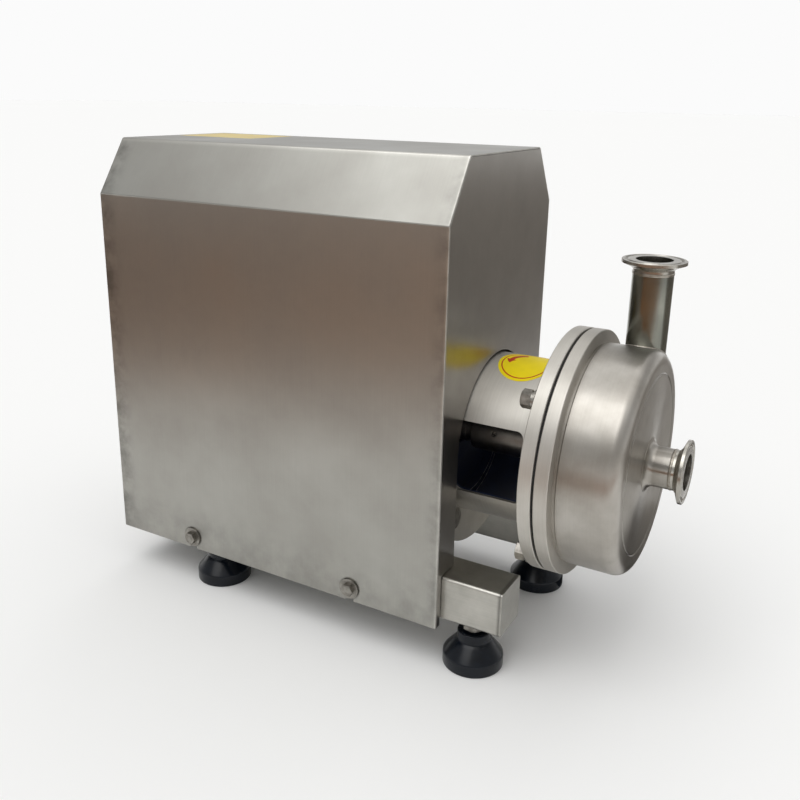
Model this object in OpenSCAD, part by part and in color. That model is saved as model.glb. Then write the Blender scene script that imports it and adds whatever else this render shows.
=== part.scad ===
// Sanitary centrifugal pump: sheet metal hood over a foot mounted motor, lantern, pump casing and stand.
// X runs along the shaft towards the inlet, Y to the left, Z up. The floor is at Z = 0, sizes in mm.

/* [Hood] */
// Length of the hood along the shaft
hood_l = 343; // [330:1:380]
// Outside width of the hood
hood_w = 202; // [200:1:220]
// Height of the hood's lower edge above the floor
hood_bottom = 37; // [32:1:40]
// Height where the side panels end and the bevels begin
hood_side_top = 361; // [340:1:375]
// Height of the flat top
hood_top = 408; // [395:1:430]
// How far each bevel leans in
hood_bevel = 31; // [20:1:40]
// Thickness of the hood's sheet
sheet = 1.5; // [1:0.1:2]
// Outside radius of the hood's folds
fold_r = 3; // [2.5:0.1:4]
// Play between the hood's arch and the lantern tube
arch_play = 2; // [1:0.5:4]
// Play between the hood and the rails at the front wall
rail_play = 0.8; // [0.5:0.1:2]
// Distance of the front hood screws behind the front wall
screw_front = 81.5; // [60:0.5:110]
// Distance of the rear hood screws behind the front wall
screw_rear = 254.5; // [225:0.5:280]
// Height of the hood screws above the floor
screw_z = 49; // [48:0.5:52]
// Length of one vent slot in the rear wall
vent_l = 62; // [40:1:70]
// Width of one vent slot
vent_w = 5; // [4:0.5:7]
// Height between vent slots
vent_step = 14; // [10:1:16]
// Height of the lowest vent slot
vent_z = 120; // [100:1:150]
// Number of vent slots in each column
vent_rows = 9; // [4:1:11]

/* [Stand] */
// Side of the square rail tube
rail_size = 38; // [36:1:40]
// Wall of the square rail tube
rail_wall = 2; // [1.5:0.1:3]
// Outside corner radius of the rail tube
rail_corner = 3; // [2:0.5:4]
// Height of the rails' underside
rail_z = 42; // [42:0.5:44]
// Distance of the rails' outer faces inside the hood's sides
rail_inset = 8.5; // [8:0.5:10]
// How far the rails reach in front of the hood
rail_front = 52; // [46:1:56]
// Distance of the rails' rear ends inside the hood's rear edge
rail_back = 9; // [5:1:20]
// Thickness of the end caps
cap_t = 2; // [1:0.5:3]
// Side of the square cross tubes
cross_size = 30; // [25:1:32]
// Distance of the front cross tube behind the front wall
cross_front = 120; // [100:1:140]
// Distance of the rear cross tube behind the front wall
cross_rear = 290; // [270:1:300]
// Radius of a levelling foot
foot_r = 25; // [22:0.5:28]
// Height of a foot's straight rim
foot_rim = 10; // [6:0.5:12]
// Radius of a foot's collar
collar_r = 13.5; // [11:0.5:15]
// Height of a foot's collar top
collar_z = 30.5; // [29:0.5:31.5]
// Distance of the front feet in front of the hood
foot_front = 22; // [18:1:26]
// Distance of the rear feet behind the hood's front wall
foot_rear = 241.5; // [220:0.5:260]
// Radius of a foot's threaded stem
stem_r = 6; // [5:0.5:6]
// Running play of a stem in its bush
stem_fit = 0.08; // [0.05:0.01:0.1]
// Height of a weld bush
bush_h = 14; // [10:1:16]
// Width across flats of a foot's lock nut
lock_af = 18; // [17:0.5:19]
// Height of a foot's lock nut
lock_h = 10; // [6:0.5:10]

/* [Lantern] */
// Height of the shaft above the floor
axis_z = 174; // [173:0.5:176]
// Distance from the motor's bolt circle in to the lantern tube
bolt_room = 13.5; // [12.5:0.5:15]
// Wall of the lantern tube
lantern_wall = 5; // [4:0.5:6]
// Distance from the hood's front wall to the pump side flange
lantern_reach = 61; // [58:1:70]
// How far the rims of the pump side flanges stay inside the hood's sides
flange_inset = 1; // [0.5:0.5:2]
// Thickness of the pump side flange
flange_t = 10.5; // [9.5:0.5:13]
// How much smaller in radius the motor side flange is
mflange_in = 2.5; // [2:0.5:5]
// Thickness of the motor side flange
mflange_t = 10; // [8:0.5:12]
// Distance of the motor side flange's face behind the hood's front wall
mflange_x = 11; // [10:0.5:14]
// Height of a window
window_h = 60; // [50:1:66]
// Width of the tube's end ring beside a window
window_ring = 10.5; // [8:0.5:16]
// Corner radius of a window
window_corner = 6; // [4:0.5:10]
// Depth of the seat for the back cover
seat_d = 5; // [4:0.5:6]
// Distance from the casing's bolt circle in to the seat for the back cover
seat_land = 6; // [5.5:0.5:7]
// Distance from the flange rim in to the casing's bolt circle
rim_land = 8; // [7.5:0.5:8.5]
// Chamfer of the flange rims
rim_edge = 0.5; // [0.3:0.1:1]
// Turn of the casing's bolts from 45 degrees
bolt_turn = 4; // [0:0.5:8]
// Height of the heads of the casing's bolts
casing_head = 7.5; // [5:0.1:8]
// Distance from the motor side flange's rim in to the motor's bolt circle
mrim_land = 15; // [13:0.5:16]

/* [Casing] */
// Thickness of the gasket between the flanges
gasket_t = 2; // [1:0.1:2.5]
// How far the gasket stays inside the flange rim
gasket_in = 2.5; // [1.5:0.1:3]
// Thickness of the casing flange
cflange_t = 10.5; // [9.5:0.1:12]
// Step from the back cover's seat in to the casing flange's bore
seat_step = 3; // [2:0.5:4]
// How far the casing shell stays inside the flange rim
shell_in = 10; // [8:0.5:12]
// Wall of the casing shell
casing_wall = 2.5; // [2:0.1:3]
// Depth of the casing shell in front of its flange
casing_d = 47.8; // [46:0.1:56]
// Shoulder radius of the casing shell
shoulder_r = 10.5; // [8:0.5:14]
// Distance of the crease in the casing's face inside the shell's radius
crease_in = 18; // [15:0.5:22]
// Depth of the crease in the casing's face
crease_d = 0.5; // [0.3:0.1:0.8]
// Depth of the neck beside the flange
neck_d = 1; // [0.6:0.1:1.2]
// Length of the neck beside the flange
neck_l = 3; // [2:0.5:4]
// Outside radius of the pipes
pipe_r = 16; // [15:0.5:17]
// Wall of the pipes
pipe_wall = 1.6; // [1.2:0.1:2]
// Distance from the casing's face to the inlet's face
inlet_stub = 29.2; // [26:0.1:40]
// Distance of the outlet's axis in front of the casing flange
outlet_x = 26.5; // [26:0.5:28]
// Distance of the outlet's axis from the middle plane
outlet_y = 41; // [36:0.5:46]
// Height of the outlet's face above the floor
outlet_z = 328; // [310:1:345]
// Radius of the clamp ferrules
ferrule_r = 25.25; // [25:0.05:25.5]
// Thickness of a ferrule's rim
ferrule_rim = 2.9; // [2.4:0.1:3.4]
// Length of a ferrule with its neck
ferrule_l = 10.5; // [9.5:0.5:13]
// Radius of the drawn collar round the inlet pipe
collar_fillet = 6; // [4:0.5:8]

/* [Rotor] */
// Radius of the stub shaft's hub
hub_r = 17; // [16.5:0.5:20]
// Radius of the stub shaft at the seal
shaft_r = 14; // [13:0.5:14.5]
// Radius of the stub shaft inside the impeller
seat_shaft_r = 10; // [9:0.5:11]
// Radius of the impeller
impeller_r = 74; // [68:1:78]
// Thickness of the impeller's disc
impeller_t = 3; // [2:0.5:4]
// Width of the impeller's blades
blade_w = 21; // [16:1:24]
// Thickness of the impeller's blades
blade_t = 2.5; // [2:0.1:3.5]
// Number of the impeller's blades
blade_n = 5; // [3:1:6]
// Distance of the impeller's disc in front of the casing flange
impeller_x = 8; // [8:0.5:10]
// Radius of the motor shaft's end
mshaft_r = 12; // [11:0.5:12]
// Length of the motor shaft's end
mshaft_l = 50; // [44:1:52]
// Radius of the motor shaft in its bearings
journal_r = 12.5; // [12:0.25:13]
// Radius of the motor shaft inside the core
core_shaft_r = 15; // [14:0.5:16]
// Radius of the motor shaft's rear end
fan_shaft_r = 10; // [9:0.5:11]
// Radius of the fan's boss
fan_boss_r = 17; // [15:0.5:19]
// Distance of the set screws from the rear end of the hub
set_screw_x = 22; // [16:1:26]

/* [Motor] */
// Shaft height of the motor above its feet
motor_h = 90; // [89:0.5:90]
// Length of the finned frame
frame_l = 180; // [170:1:190]
// Distance from the tips of the fins to the hood's sides
fin_play = 15; // [13:0.5:16]
// Height of a fin
fin_h = 10; // [8:0.5:11]
// Number of fins
fin_n = 36; // [24:4:40]
// Thickness of a fin
fin_t = 3; // [2:0.5:4]
// Wall of the frame round the stator
frame_wall = 11; // [10:0.5:13]
// Depth of the stator from its outside in to the air gap
stator_wall = 20.4; // [18:0.1:22]
// Air gap between rotor core and stator
air_gap = 0.6; // [0.4:0.1:1]
// How far the foot bolts stand inside the rails' middle lines
foot_bolt_in = 3.5; // [2:0.5:5]
// Distance from the middle plane to the inner edges of the motor's feet
mfoot_in = 44; // [40:1:46]
// Distance of the front foot bolts behind the motor's flange face
foot_bolt_x = 56; // [54:1:60]
// Distance between front and rear foot bolts
foot_pitch = 125; // [110:1:130]
// Thickness of the motor's feet
mfoot_t = 10; // [8:0.5:12]
// Side of the terminal box
box_s = 96; // [84:1:104]
// Height of the terminal box
box_h = 32; // [28:1:40]
// Thickness of the terminal box lid
lid_t = 8; // [5:0.5:10]
// Distance of the lid's screws inside the terminal box's sides
lid_screw_in = 8; // [7:0.5:12]
// Length of the fan cowl
cowl_l = 66; // [60:1:72]
// Radius of the fan
fan_r = 70; // [60:1:76]
// Width of the fan
fan_w = 18; // [14:1:20]
// Distance from the end of the fan cowl to the end of the motor shaft
fan_gap = 22; // [18:1:26]
// Depth of the front shield behind its flange face
shield_l = 34; // [33:1:38]
// Thickness of the front shield's flange
mplate_t = 12; // [10:0.5:12]
// Depth of the rear shield
rear_l = 15; // [15:0.5:17]
// Outside radius of the bearings
bearing_r = 26; // [25:0.5:28]
// Width of the bearings
bearing_w = 15; // [12:0.5:15]
// Distance of the stator from the frame's ends
stator_in = 18; // [14:1:24]
// Distance of the terminal box behind the frame's front end
box_front = 26; // [20:1:34]
// Height of the terminal box's seat over the fins
box_seat = 2; // [1:0.5:4]

/* [Hidden] */
$fn = 96;
e = 0.5;
reach = lantern_reach + flange_t + gasket_t + cflange_t + casing_d + inlet_stub;
xw = (hood_l - reach) / 2;
xr = xw - hood_l;
hw = hood_w / 2;
bevel_a = atan(hood_bevel / (hood_top - hood_side_top));
in_side = sheet * tan(bevel_a / 2);
in_top = sheet * tan((90 - bevel_a) / 2);
rail_top = rail_z + rail_size;
rail_out = hw - rail_inset;
rail_y = rail_out - rail_size / 2;
foot_bolt_y = rail_y - foot_bolt_in;
flange_r = hw - flange_inset;
casing_pcr = flange_r - rim_land;
seat_r = casing_pcr - seat_land;
cflange_in = seat_r - seat_step;
casing_r = flange_r - shell_in;
mflange_r = flange_r - mflange_in;
motor_pcr = mflange_r - mrim_land;
fin_r = hw - fin_play;
frame_r = fin_r - fin_h;
stator_r = frame_r - frame_wall;
core_r = stator_r - stator_wall - air_gap;
lantern_r = motor_pcr - bolt_room;
rail_x0 = xr + rail_back;
rail_x1 = xw + rail_front;
x_lf = xw + lantern_reach;
x_lff = x_lf + flange_t;
x_cf = x_lff + gasket_t;
x_cs = x_cf + cflange_t;
x_face = x_cs + casing_d;
x_in = x_face + inlet_stub;
x_out = x_cs + outlet_x;
x_mf = xw - mflange_x;
x_mj = x_mf - mflange_t;
pipe_in = pipe_r - pipe_wall;
lantern_in = lantern_r - lantern_wall;
spigot_r = lantern_in + 1;
x_fr1 = x_mj - shield_l;
x_fr0 = x_fr1 - frame_l;
x_rs0 = x_fr0 - rear_l;
x_fb1 = x_mj - mplate_t - 3;
x_fb0 = x_fb1 - bearing_w;
x_imp = x_cs + impeller_x;
pad_h = axis_z - motor_h - rail_top;
foot_xs = [xw + foot_front, xw - foot_rear];
screw_xs = [xw - screw_front, xw - screw_rear];
mbolt_xs = [x_mj - foot_bolt_x, x_mj - foot_bolt_x - foot_pitch];
box_x = x_fr1 - box_front - box_s / 2;
box_z = axis_z + fin_r + box_seat;
set_screw_a = [-16, 74];
steel = [0.72, 0.71, 0.68];
bright = [0.80, 0.80, 0.78];
black = [0.05, 0.06, 0.08];
green = [0.16, 0.22, 0.30];

// Solid of revolution about the shaft from points of radius and X.
module rev(p) {
  translate([0, 0, axis_z]) rotate([0, 90, 0]) rotate_extrude() polygon(p);
}

// Round bar on the shaft's axis.
module bar(x0, x1, r) {
  translate([x0, 0, axis_z]) rotate([0, 90, 0]) cylinder(h = x1 - x0, r = r);
}

// Four copies on a circle round the shaft, turned from 45 degrees.
module four(r, turn = 0) {
  for (a = [45 : 90 : 315])
    translate([0, 0, axis_z]) rotate([a + turn, 0, 0]) translate([0, 0, r]) children();
}

// Rod and hexagon along X.
module rod_x(x0, x1, r) {
  translate([x0, 0, 0]) rotate([0, 90, 0]) cylinder(h = x1 - x0, r = r);
}
module hex_x(x0, x1, af) {
  translate([x0, 0, 0]) rotate([0, x1 > x0 ? 90 : -90, 0]) hex_bit(abs(x1 - x0), af);
}

// Hexagon with the corners of its upper face chamfered.
module hex_bit(h, af) {
  r = af / 2 / cos(30) + 1;
  f = 0.475 * af;
  intersection() {
    cylinder(h = h, r = r - 1, $fn = 6);
    rotate_extrude() polygon([[0, 0], [r, 0], [r, h - (r - f) * tan(30)], [f, h], [0, h]]);
  }
}

// Extrusion along X of a shape drawn in Y and Z.
module along_x(x0, x1) {
  translate([x0, 0, 0]) rotate([90, 0, 90]) linear_extrude(x1 - x0) children();
}

// Rod along Y outwards on the left side, mirrored for the right side.
module rod_y(y0, y1, r, n = 96) {
  translate([0, y0, 0]) rotate([-90, 0, 0]) cylinder(h = y1 - y0, r = r, $fn = n);
}
module both_sides() {
  children();
  mirror([0, 1, 0]) children();
}

// Hood: one folded sheet for sides, bevels and top, with welded end walls.
module hood_outline(inset, z0) {
  s = inset ? sheet : 0;
  r = fold_r - s;
  ya = hw - s;
  za = hood_side_top - (inset ? in_side : 0);
  yb = hw - hood_bevel - (inset ? in_top : 0);
  zb = hood_top - s;
  ta = r * tan(bevel_a / 2);
  tb = r * tan((90 - bevel_a) / 2);
  dy = sin(bevel_a);
  dz = cos(bevel_a);
  half = [[ya, z0], [ya, za - ta], [ya - ta * dy, za + ta * dz],
          [yb + tb * dy, zb - tb * dz], [yb - tb, zb]];
  polygon(concat(half, [for (i = [4 : -1 : 0]) [-half[i][0], half[i][1]]]));
  for (y = [-1, 1]) {
    translate([y * (ya - r), za - ta]) circle(r);
    translate([y * (yb - tb), zb - r]) circle(r);
  }
}
module hood_wrap() {
  color(steel) difference() {
    along_x(xr, xw) hood_outline(false, hood_bottom);
    along_x(xr - e, xw + e) hood_outline(true, hood_bottom - e);
    for (x = screw_xs) both_sides() translate([x, 0, screw_z]) {
      rod_y(hw - sheet - e, hw + e, 3.5);
      translate([-3.5, hw - sheet - e, hood_bottom - screw_z - e])
        cube([7, sheet + 2 * e, screw_z - hood_bottom + e]);
    }
  }
}
module hood_front() {
  r = lantern_r + arch_play;
  color(steel) difference() {
    along_x(xw - sheet, xw) hood_outline(true, hood_bottom);
    bar(xw - sheet - e, xw + e, r);
    translate([xw - sheet - e, -r, hood_bottom - e])
      cube([sheet + 2 * e, 2 * r, axis_z - hood_bottom + e]);
    translate([xw - sheet - e, -rail_out - rail_play, hood_bottom - e])
      cube([sheet + 2 * e, 2 * (rail_out + rail_play), rail_top + rail_play - hood_bottom + e]);
  }
}
module hood_rear() {
  color(steel) difference() {
    along_x(xr, xr + sheet) hood_outline(true, hood_bottom);
    for (i = [0 : vent_rows - 1]) both_sides() translate([0, 12, vent_z + i * vent_step]) {
      translate([xr - e, vent_w / 2, -vent_w / 2]) cube([sheet + 2 * e, vent_l - vent_w, vent_w]);
      for (y = [vent_w / 2, vent_l - vent_w / 2])
        translate([0, y, 0]) rod_x(xr - e, xr + sheet + e, vent_w / 2);
    }
  }
}

// Hood screws with washers, and tapped bosses welded to the rails.
module hood_screws() {
  color(bright) for (x = screw_xs) both_sides() translate([x, 0, screw_z]) {
    rod_y(rail_out + 1, hw + 1.6, 3);
    translate([0, hw + 1.6, 0]) rotate([-90, 0, 0]) hex_bit(4, 10);
  }
}
module hood_washers() {
  color(bright) for (x = screw_xs) both_sides() translate([x, 0, screw_z]) difference() {
    rod_y(hw, hw + 1.6, 9);
    rod_y(hw - e, hw + 2.1, 3.2);
  }
}
module hood_bosses() {
  color(steel) for (x = screw_xs) both_sides() translate([x, 0, screw_z]) difference() {
    rod_y(rail_out, hw - sheet - 0.3, 6.5);
    rod_y(rail_out + 0.6, hw, 3.06);
  }
}

// Square tube rails with end caps.
module round_square(s, r) {
  square([s - 2 * r, s], center = true);
  square([s, s - 2 * r], center = true);
  for (i = [-1, 1], j = [-1, 1]) translate([i * (s / 2 - r), j * (s / 2 - r)]) circle(r);
}
module rail() {
  difference() {
    along_x(rail_x0 + cap_t, rail_x1 - cap_t) translate([rail_y, rail_z + rail_size / 2])
      round_square(rail_size, rail_corner);
    along_x(rail_x0, rail_x1) translate([rail_y, rail_z + rail_size / 2])
      square(rail_size - 2 * rail_wall, center = true);
    for (x = foot_xs) translate([x, rail_y, rail_z - e]) cylinder(h = rail_wall + 2 * e, r = 9);
    for (x = mbolt_xs) translate([x, foot_bolt_y, rail_top - rail_wall - e])
      cylinder(h = rail_wall + 2 * e, r = 4.5);
  }
}
module rail_left() {
  color(steel) rail();
}
module rail_right() {
  color(steel) mirror([0, 1, 0]) rail();
}
module rail_caps() {
  color(steel) for (x = [rail_x0, rail_x1 - cap_t]) both_sides()
    along_x(x, x + cap_t) translate([rail_y, rail_z + rail_size / 2]) round_square(rail_size, rail_corner);
}
module cross_tubes() {
  y = rail_y - rail_size / 2;
  color(steel) for (x = [xw - cross_front, xw - cross_rear])
    translate([x - cross_size / 2, -y, rail_z + 4]) difference() {
      cube([cross_size, 2 * y, cross_size]);
      translate([2, -e, 2]) cube([cross_size - 4, 2 * y + 2 * e, cross_size - 4]);
    }
}

// Levelling feet: weld bush in the rail, lock nut under it, moulded pad on a threaded stem.
module foot_bushes() {
  color(steel) for (x = foot_xs) both_sides() translate([x, rail_y, rail_z]) difference() {
    cylinder(h = bush_h, r = 9);
    translate([0, 0, -e]) cylinder(h = bush_h + 2 * e, r = stem_r + stem_fit);
  }
}
module lock_nuts() {
  color(bright) for (x = foot_xs) both_sides() translate([x, rail_y, rail_z - lock_h]) difference() {
    translate([0, 0, lock_h]) mirror([0, 0, 1]) hex_bit(lock_h, lock_af);
    translate([0, 0, -e]) cylinder(h = lock_h + 2 * e, r = stem_r + 0.35);
  }
}
module foot_pad(x, y) {
  color(black) translate([x, y, 0]) rotate_extrude() polygon([[0, 0], [foot_r - 1.2, 0], [foot_r, 1.2],
    [foot_r, foot_rim - 1.5], [foot_r - 1.5, foot_rim], [collar_r + 2.2, collar_z - 9.5],
    [collar_r, collar_z - 7.5], [collar_r, collar_z - 0.8], [collar_r - 0.8, collar_z],
    [stem_r + 0.05, collar_z], [stem_r + 0.05, foot_rim + 4], [0, foot_rim + 4]]);
}
module foot_stem(x, y) {
  color(bright) translate([x, y, foot_rim + 4])
    cylinder(h = rail_top - rail_wall - 4 - foot_rim - 4, r = stem_r);
}
module foot_fl_pad() {
  foot_pad(foot_xs[0], rail_y);
}
module foot_fl_stem() {
  foot_stem(foot_xs[0], rail_y);
}
module foot_fr_pad() {
  foot_pad(foot_xs[0], -rail_y);
}
module foot_fr_stem() {
  foot_stem(foot_xs[0], -rail_y);
}
module foot_rl_pad() {
  foot_pad(foot_xs[1], rail_y);
}
module foot_rl_stem() {
  foot_stem(foot_xs[1], rail_y);
}
module foot_rr_pad() {
  foot_pad(foot_xs[1], -rail_y);
}
module foot_rr_stem() {
  foot_stem(foot_xs[1], -rail_y);
}

// Motor fixing on the rails.
module motor_pads() {
  color(black) for (x = mbolt_xs) both_sides() difference() {
    translate([x - rail_size / 2, rail_y - rail_size / 2 + 1, rail_top])
      cube([rail_size, rail_size - 5, pad_h]);
    translate([x, foot_bolt_y, rail_top - e]) cylinder(h = pad_h + 2 * e, r = 4.5);
  }
}
module motor_bolts() {
  z = rail_top + pad_h + mfoot_t + 1.6;
  color(bright) for (x = mbolt_xs) both_sides() translate([x, foot_bolt_y, 0]) {
    translate([0, 0, z]) hex_bit(5.3, 13);
    translate([0, 0, rail_top - rail_wall - 9]) cylinder(h = z - rail_top + rail_wall + 9, r = 4);
  }
}
module motor_washers() {
  z = rail_top + pad_h + mfoot_t;
  color(bright) for (x = mbolt_xs) both_sides() translate([x, foot_bolt_y, z]) difference() {
    cylinder(h = 1.6, r = 8);
    translate([0, 0, -e]) cylinder(h = 2.6, r = 4.2);
  }
}
module motor_nuts() {
  z = rail_top - rail_wall - 6.5;
  color(bright) for (x = mbolt_xs) both_sides() translate([x, foot_bolt_y, z]) difference() {
    translate([0, 0, 6.5]) mirror([0, 0, 1]) hex_bit(6.5, 13);
    translate([0, 0, -e]) cylinder(h = 7.5, r = 4.05);
  }
}

// Motor: finned frame with cast feet and a flat for the terminal box.
function polar(r, a) = [r * cos(a), r * sin(a)];
module fin_outline() {
  p = 360 / fin_n;
  root = asin(fin_t / 2 / frame_r) + 0.2;
  tip = asin(fin_t / 2 / fin_r);
  polygon([for (i = [0 : fin_n - 1]) each [polar(frame_r, i * p - root), polar(fin_r, i * p - tip),
                                           polar(fin_r, i * p + tip), polar(frame_r, i * p + root)]]);
}
module motor_frame() {
  fz = axis_z - motor_h;
  color(green) difference() {
    union() {
      along_x(x_fr0, x_fr1) translate([0, axis_z]) fin_outline();
      translate([box_x - 34, -32, axis_z]) cube([68, 64, box_z - axis_z]);
      for (x = mbolt_xs) both_sides() {
        translate([x - 17, mfoot_in, fz]) cube([34, foot_bolt_y + 18 - mfoot_in, mfoot_t]);
        translate([x - 17, mfoot_in, fz]) cube([8, 20, 56]);
        translate([x + 9, mfoot_in, fz]) cube([8, 20, 56]);
      }
    }
    bar(x_fr0 - e, x_fr1 + e, stator_r);
    for (x = mbolt_xs) both_sides() translate([x, foot_bolt_y, fz - e])
      cylinder(h = mfoot_t + 2 * e, r = 4.5);
  }
}
module front_shield() {
  color(green) difference() {
    rev([[bearing_r, x_fb0 - 1], [frame_r, x_fr1], [frame_r, x_fr1 + 3], [lantern_in + 3, x_fr1 + 6],
         [lantern_in + 3, x_mj - mplate_t], [mflange_r, x_mj - mplate_t], [mflange_r, x_mj],
         [spigot_r - 0.1, x_mj],
         [spigot_r - 0.1, x_mj + 3.6], [spigot_r - 8, x_mj + 3.6], [spigot_r - 8, x_mj - 4],
         [bearing_r + 4, x_mj - 8], [15, x_mj - 8], [15, x_fb1 + 1], [bearing_r, x_fb1 + 1]]);
    four(motor_pcr) rod_x(x_mj - mplate_t - e, x_mj + e, 5.3);
  }
}
module rear_shield() {
  color(green) rev([[bearing_r, x_fr0], [fin_r - 1.6, x_fr0], [fin_r - 1.6, x_fr0 - 0.66 * rear_l],
                    [bearing_r + 14, x_rs0], [14, x_rs0], [14, x_rs0 + 2], [bearing_r, x_rs0 + 2]]);
}
module motor_stator() {
  color([0.45, 0.3, 0.2]) rev([[core_r + air_gap, x_fr0 + stator_in], [stator_r, x_fr0 + stator_in],
                               [stator_r, x_fr1 - stator_in], [core_r + air_gap, x_fr1 - stator_in]]);
}
module front_bearing() {
  color(bright) rev([[journal_r + 0.05, x_fb0], [bearing_r, x_fb0], [bearing_r, x_fb1],
                     [journal_r + 0.05, x_fb1]]);
}
module rear_bearing() {
  color(bright) rev([[journal_r + 0.05, x_rs0 + 2], [bearing_r, x_rs0 + 2], [bearing_r, x_fr0],
                     [journal_r + 0.05, x_fr0]]);
}
module fan_cowl() {
  x0 = x_fr0 - cowl_l;
  color(green) difference() {
    bar(x0, x_fr0, fin_r);
    bar(x0 + 1.6, x_fr0 + e, fin_r - 1.6);
    for (i = [0 : 15]) translate([0, 0, axis_z]) rotate([i * 22.5, 0, 0])
      translate([x0 - e, -3, 26]) cube([2.6, 6, 44]);
  }
}
module terminal_box() {
  color(green) difference() {
    translate([box_x - box_s / 2, -box_s / 2, box_z]) cube([box_s, box_s, box_h]);
    translate([box_x - box_s / 2 + 4, -box_s / 2 + 4, box_z + 4]) cube([box_s - 8, box_s - 8, box_h]);
    translate([box_x, -box_s / 2 - e, box_z + box_h / 2]) rod_y(0, 5, 8);
  }
}
module terminal_lid() {
  color(green) translate([box_x - box_s / 2 - 1.5, -box_s / 2 - 1.5, box_z + box_h])
    cube([box_s + 3, box_s + 3, lid_t]);
}
module lid_screws() {
  d = box_s / 2 - lid_screw_in;
  z = box_z + box_h + lid_t;
  color(bright) for (i = [-1, 1], j = [-1, 1]) translate([box_x + i * d, j * d, z]) difference() {
    cylinder(h = 3, r1 = 4.2, r2 = 3.4);
    translate([-5, -0.6, 1.8]) cube([10, 1.2, 2]);
  }
}
module cable_gland() {
  color(black) translate([box_x, 0, box_z + box_h / 2]) mirror([0, 1, 0]) difference() {
    union() {
      rod_y(box_s / 2, box_s / 2 + 9, 12 / cos(30), 6);
      rod_y(box_s / 2 + 9, box_s / 2 + 22, 11);
    }
    rod_y(box_s / 2 - e, box_s / 2 + 23, 5);
  }
}

// Lantern: tube with a window on each side between two flanges.
module window_cut() {
  x0 = x_mf + 5;
  x1 = x_lf - window_ring;
  c = window_corner;
  translate([x0 + c, 30, axis_z - window_h / 2]) cube([x1 - x0 - 2 * c, 60, window_h]);
  translate([x0, 30, axis_z - window_h / 2 + c]) cube([x1 - x0, 60, window_h - 2 * c]);
  for (x = [x0 + c, x1 - c], z = [-1, 1])
    translate([x, 0, axis_z + z * (window_h / 2 - c)]) rod_y(30, 90, c);
}
module lantern() {
  c = rim_edge;
  color(steel) difference() {
    rev([[spigot_r, x_mj], [mflange_r, x_mj], [mflange_r, x_mf - c], [mflange_r - c, x_mf],
         [lantern_r, x_mf], [lantern_r, x_lf], [flange_r - c, x_lf], [flange_r, x_lf + c],
         [flange_r, x_lff - c], [flange_r - c, x_lff], [seat_r, x_lff], [seat_r, x_lff - seat_d],
         [40, x_lff - seat_d], [40, x_lf], [lantern_in, x_lf], [lantern_in, x_mj + 4],
         [spigot_r, x_mj + 4]]);
    both_sides() window_cut();
    four(motor_pcr) rod_x(x_mj - e, x_mf + e, 5.3);
    four(casing_pcr, bolt_turn) rod_x(x_lf - e, x_lff + e, 4.3);
  }
}
module lantern_bolts() {
  color(bright) four(motor_pcr) {
    hex_x(x_mf, x_mf + 6.4, 17);
    rod_x(x_mj - mplate_t - 11, x_mf, 5);
  }
}
module lantern_nuts() {
  color(bright) four(motor_pcr) difference() {
    hex_x(x_mj - mplate_t, x_mj - mplate_t - 8, 17);
    rod_x(x_mj - mplate_t - 9, x_mj - mplate_t + 1, 5.05);
  }
}
module casing_bolts() {
  color(bright) four(casing_pcr, bolt_turn) {
    hex_x(x_lf - 3.6, x_lf - 3.6 - casing_head, 13);
    rod_x(x_lf - 3.6, x_cs - 2, 4);
  }
}
module casing_washers() {
  color(bright) four(casing_pcr, bolt_turn) difference() {
    union() {
      rod_x(x_lf - 1.6, x_lf, 7.6);
      rod_x(x_lf - 3.6, x_lf - 1.6, 6.4);
    }
    rod_x(x_lf - 4.6, x_lf + 1, 4.2);
  }
}

// Back cover with the seal seat, gasket and sealing ring.
module back_cover() {
  r = seat_r - 0.2;
  s = cflange_in - 0.2;
  color(bright) difference() {
    rev([[16, x_lff - seat_d], [r, x_lff - seat_d], [r, x_cf], [s, x_cf], [s, x_cf + 4], [27, x_cf + 4],
         [27, x_cf + 1], [22, x_cf + 1], [22, x_lff - seat_d + 2], [16, x_lff - seat_d + 2]]);
    rev([[s - 2, x_cf + 0.7], [s + e, x_cf + 0.7], [s + e, x_cf + 3.3], [s - 2, x_cf + 3.3]]);
  }
}
module flange_gasket() {
  color(black) difference() {
    rev([[seat_r + 0.2, x_lff], [flange_r - gasket_in, x_lff], [flange_r - gasket_in, x_cf],
         [seat_r + 0.2, x_cf]]);
    four(casing_pcr, bolt_turn) rod_x(x_lff - e, x_cf + e, 4.3);
  }
}
module cover_ring() {
  color(black) translate([x_cf + 2, 0, axis_z]) rotate([0, 90, 0]) rotate_extrude()
    translate([cflange_in - 1.15, 0]) circle(1.05);
}
module seal_seat() {
  x0 = x_lff - seat_d + 2;
  color([0.85, 0.83, 0.78]) rev([[16, x0], [22, x0], [22, x_cf + 1], [20, x_cf + 2], [16, x_cf + 2]]);
}

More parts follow.
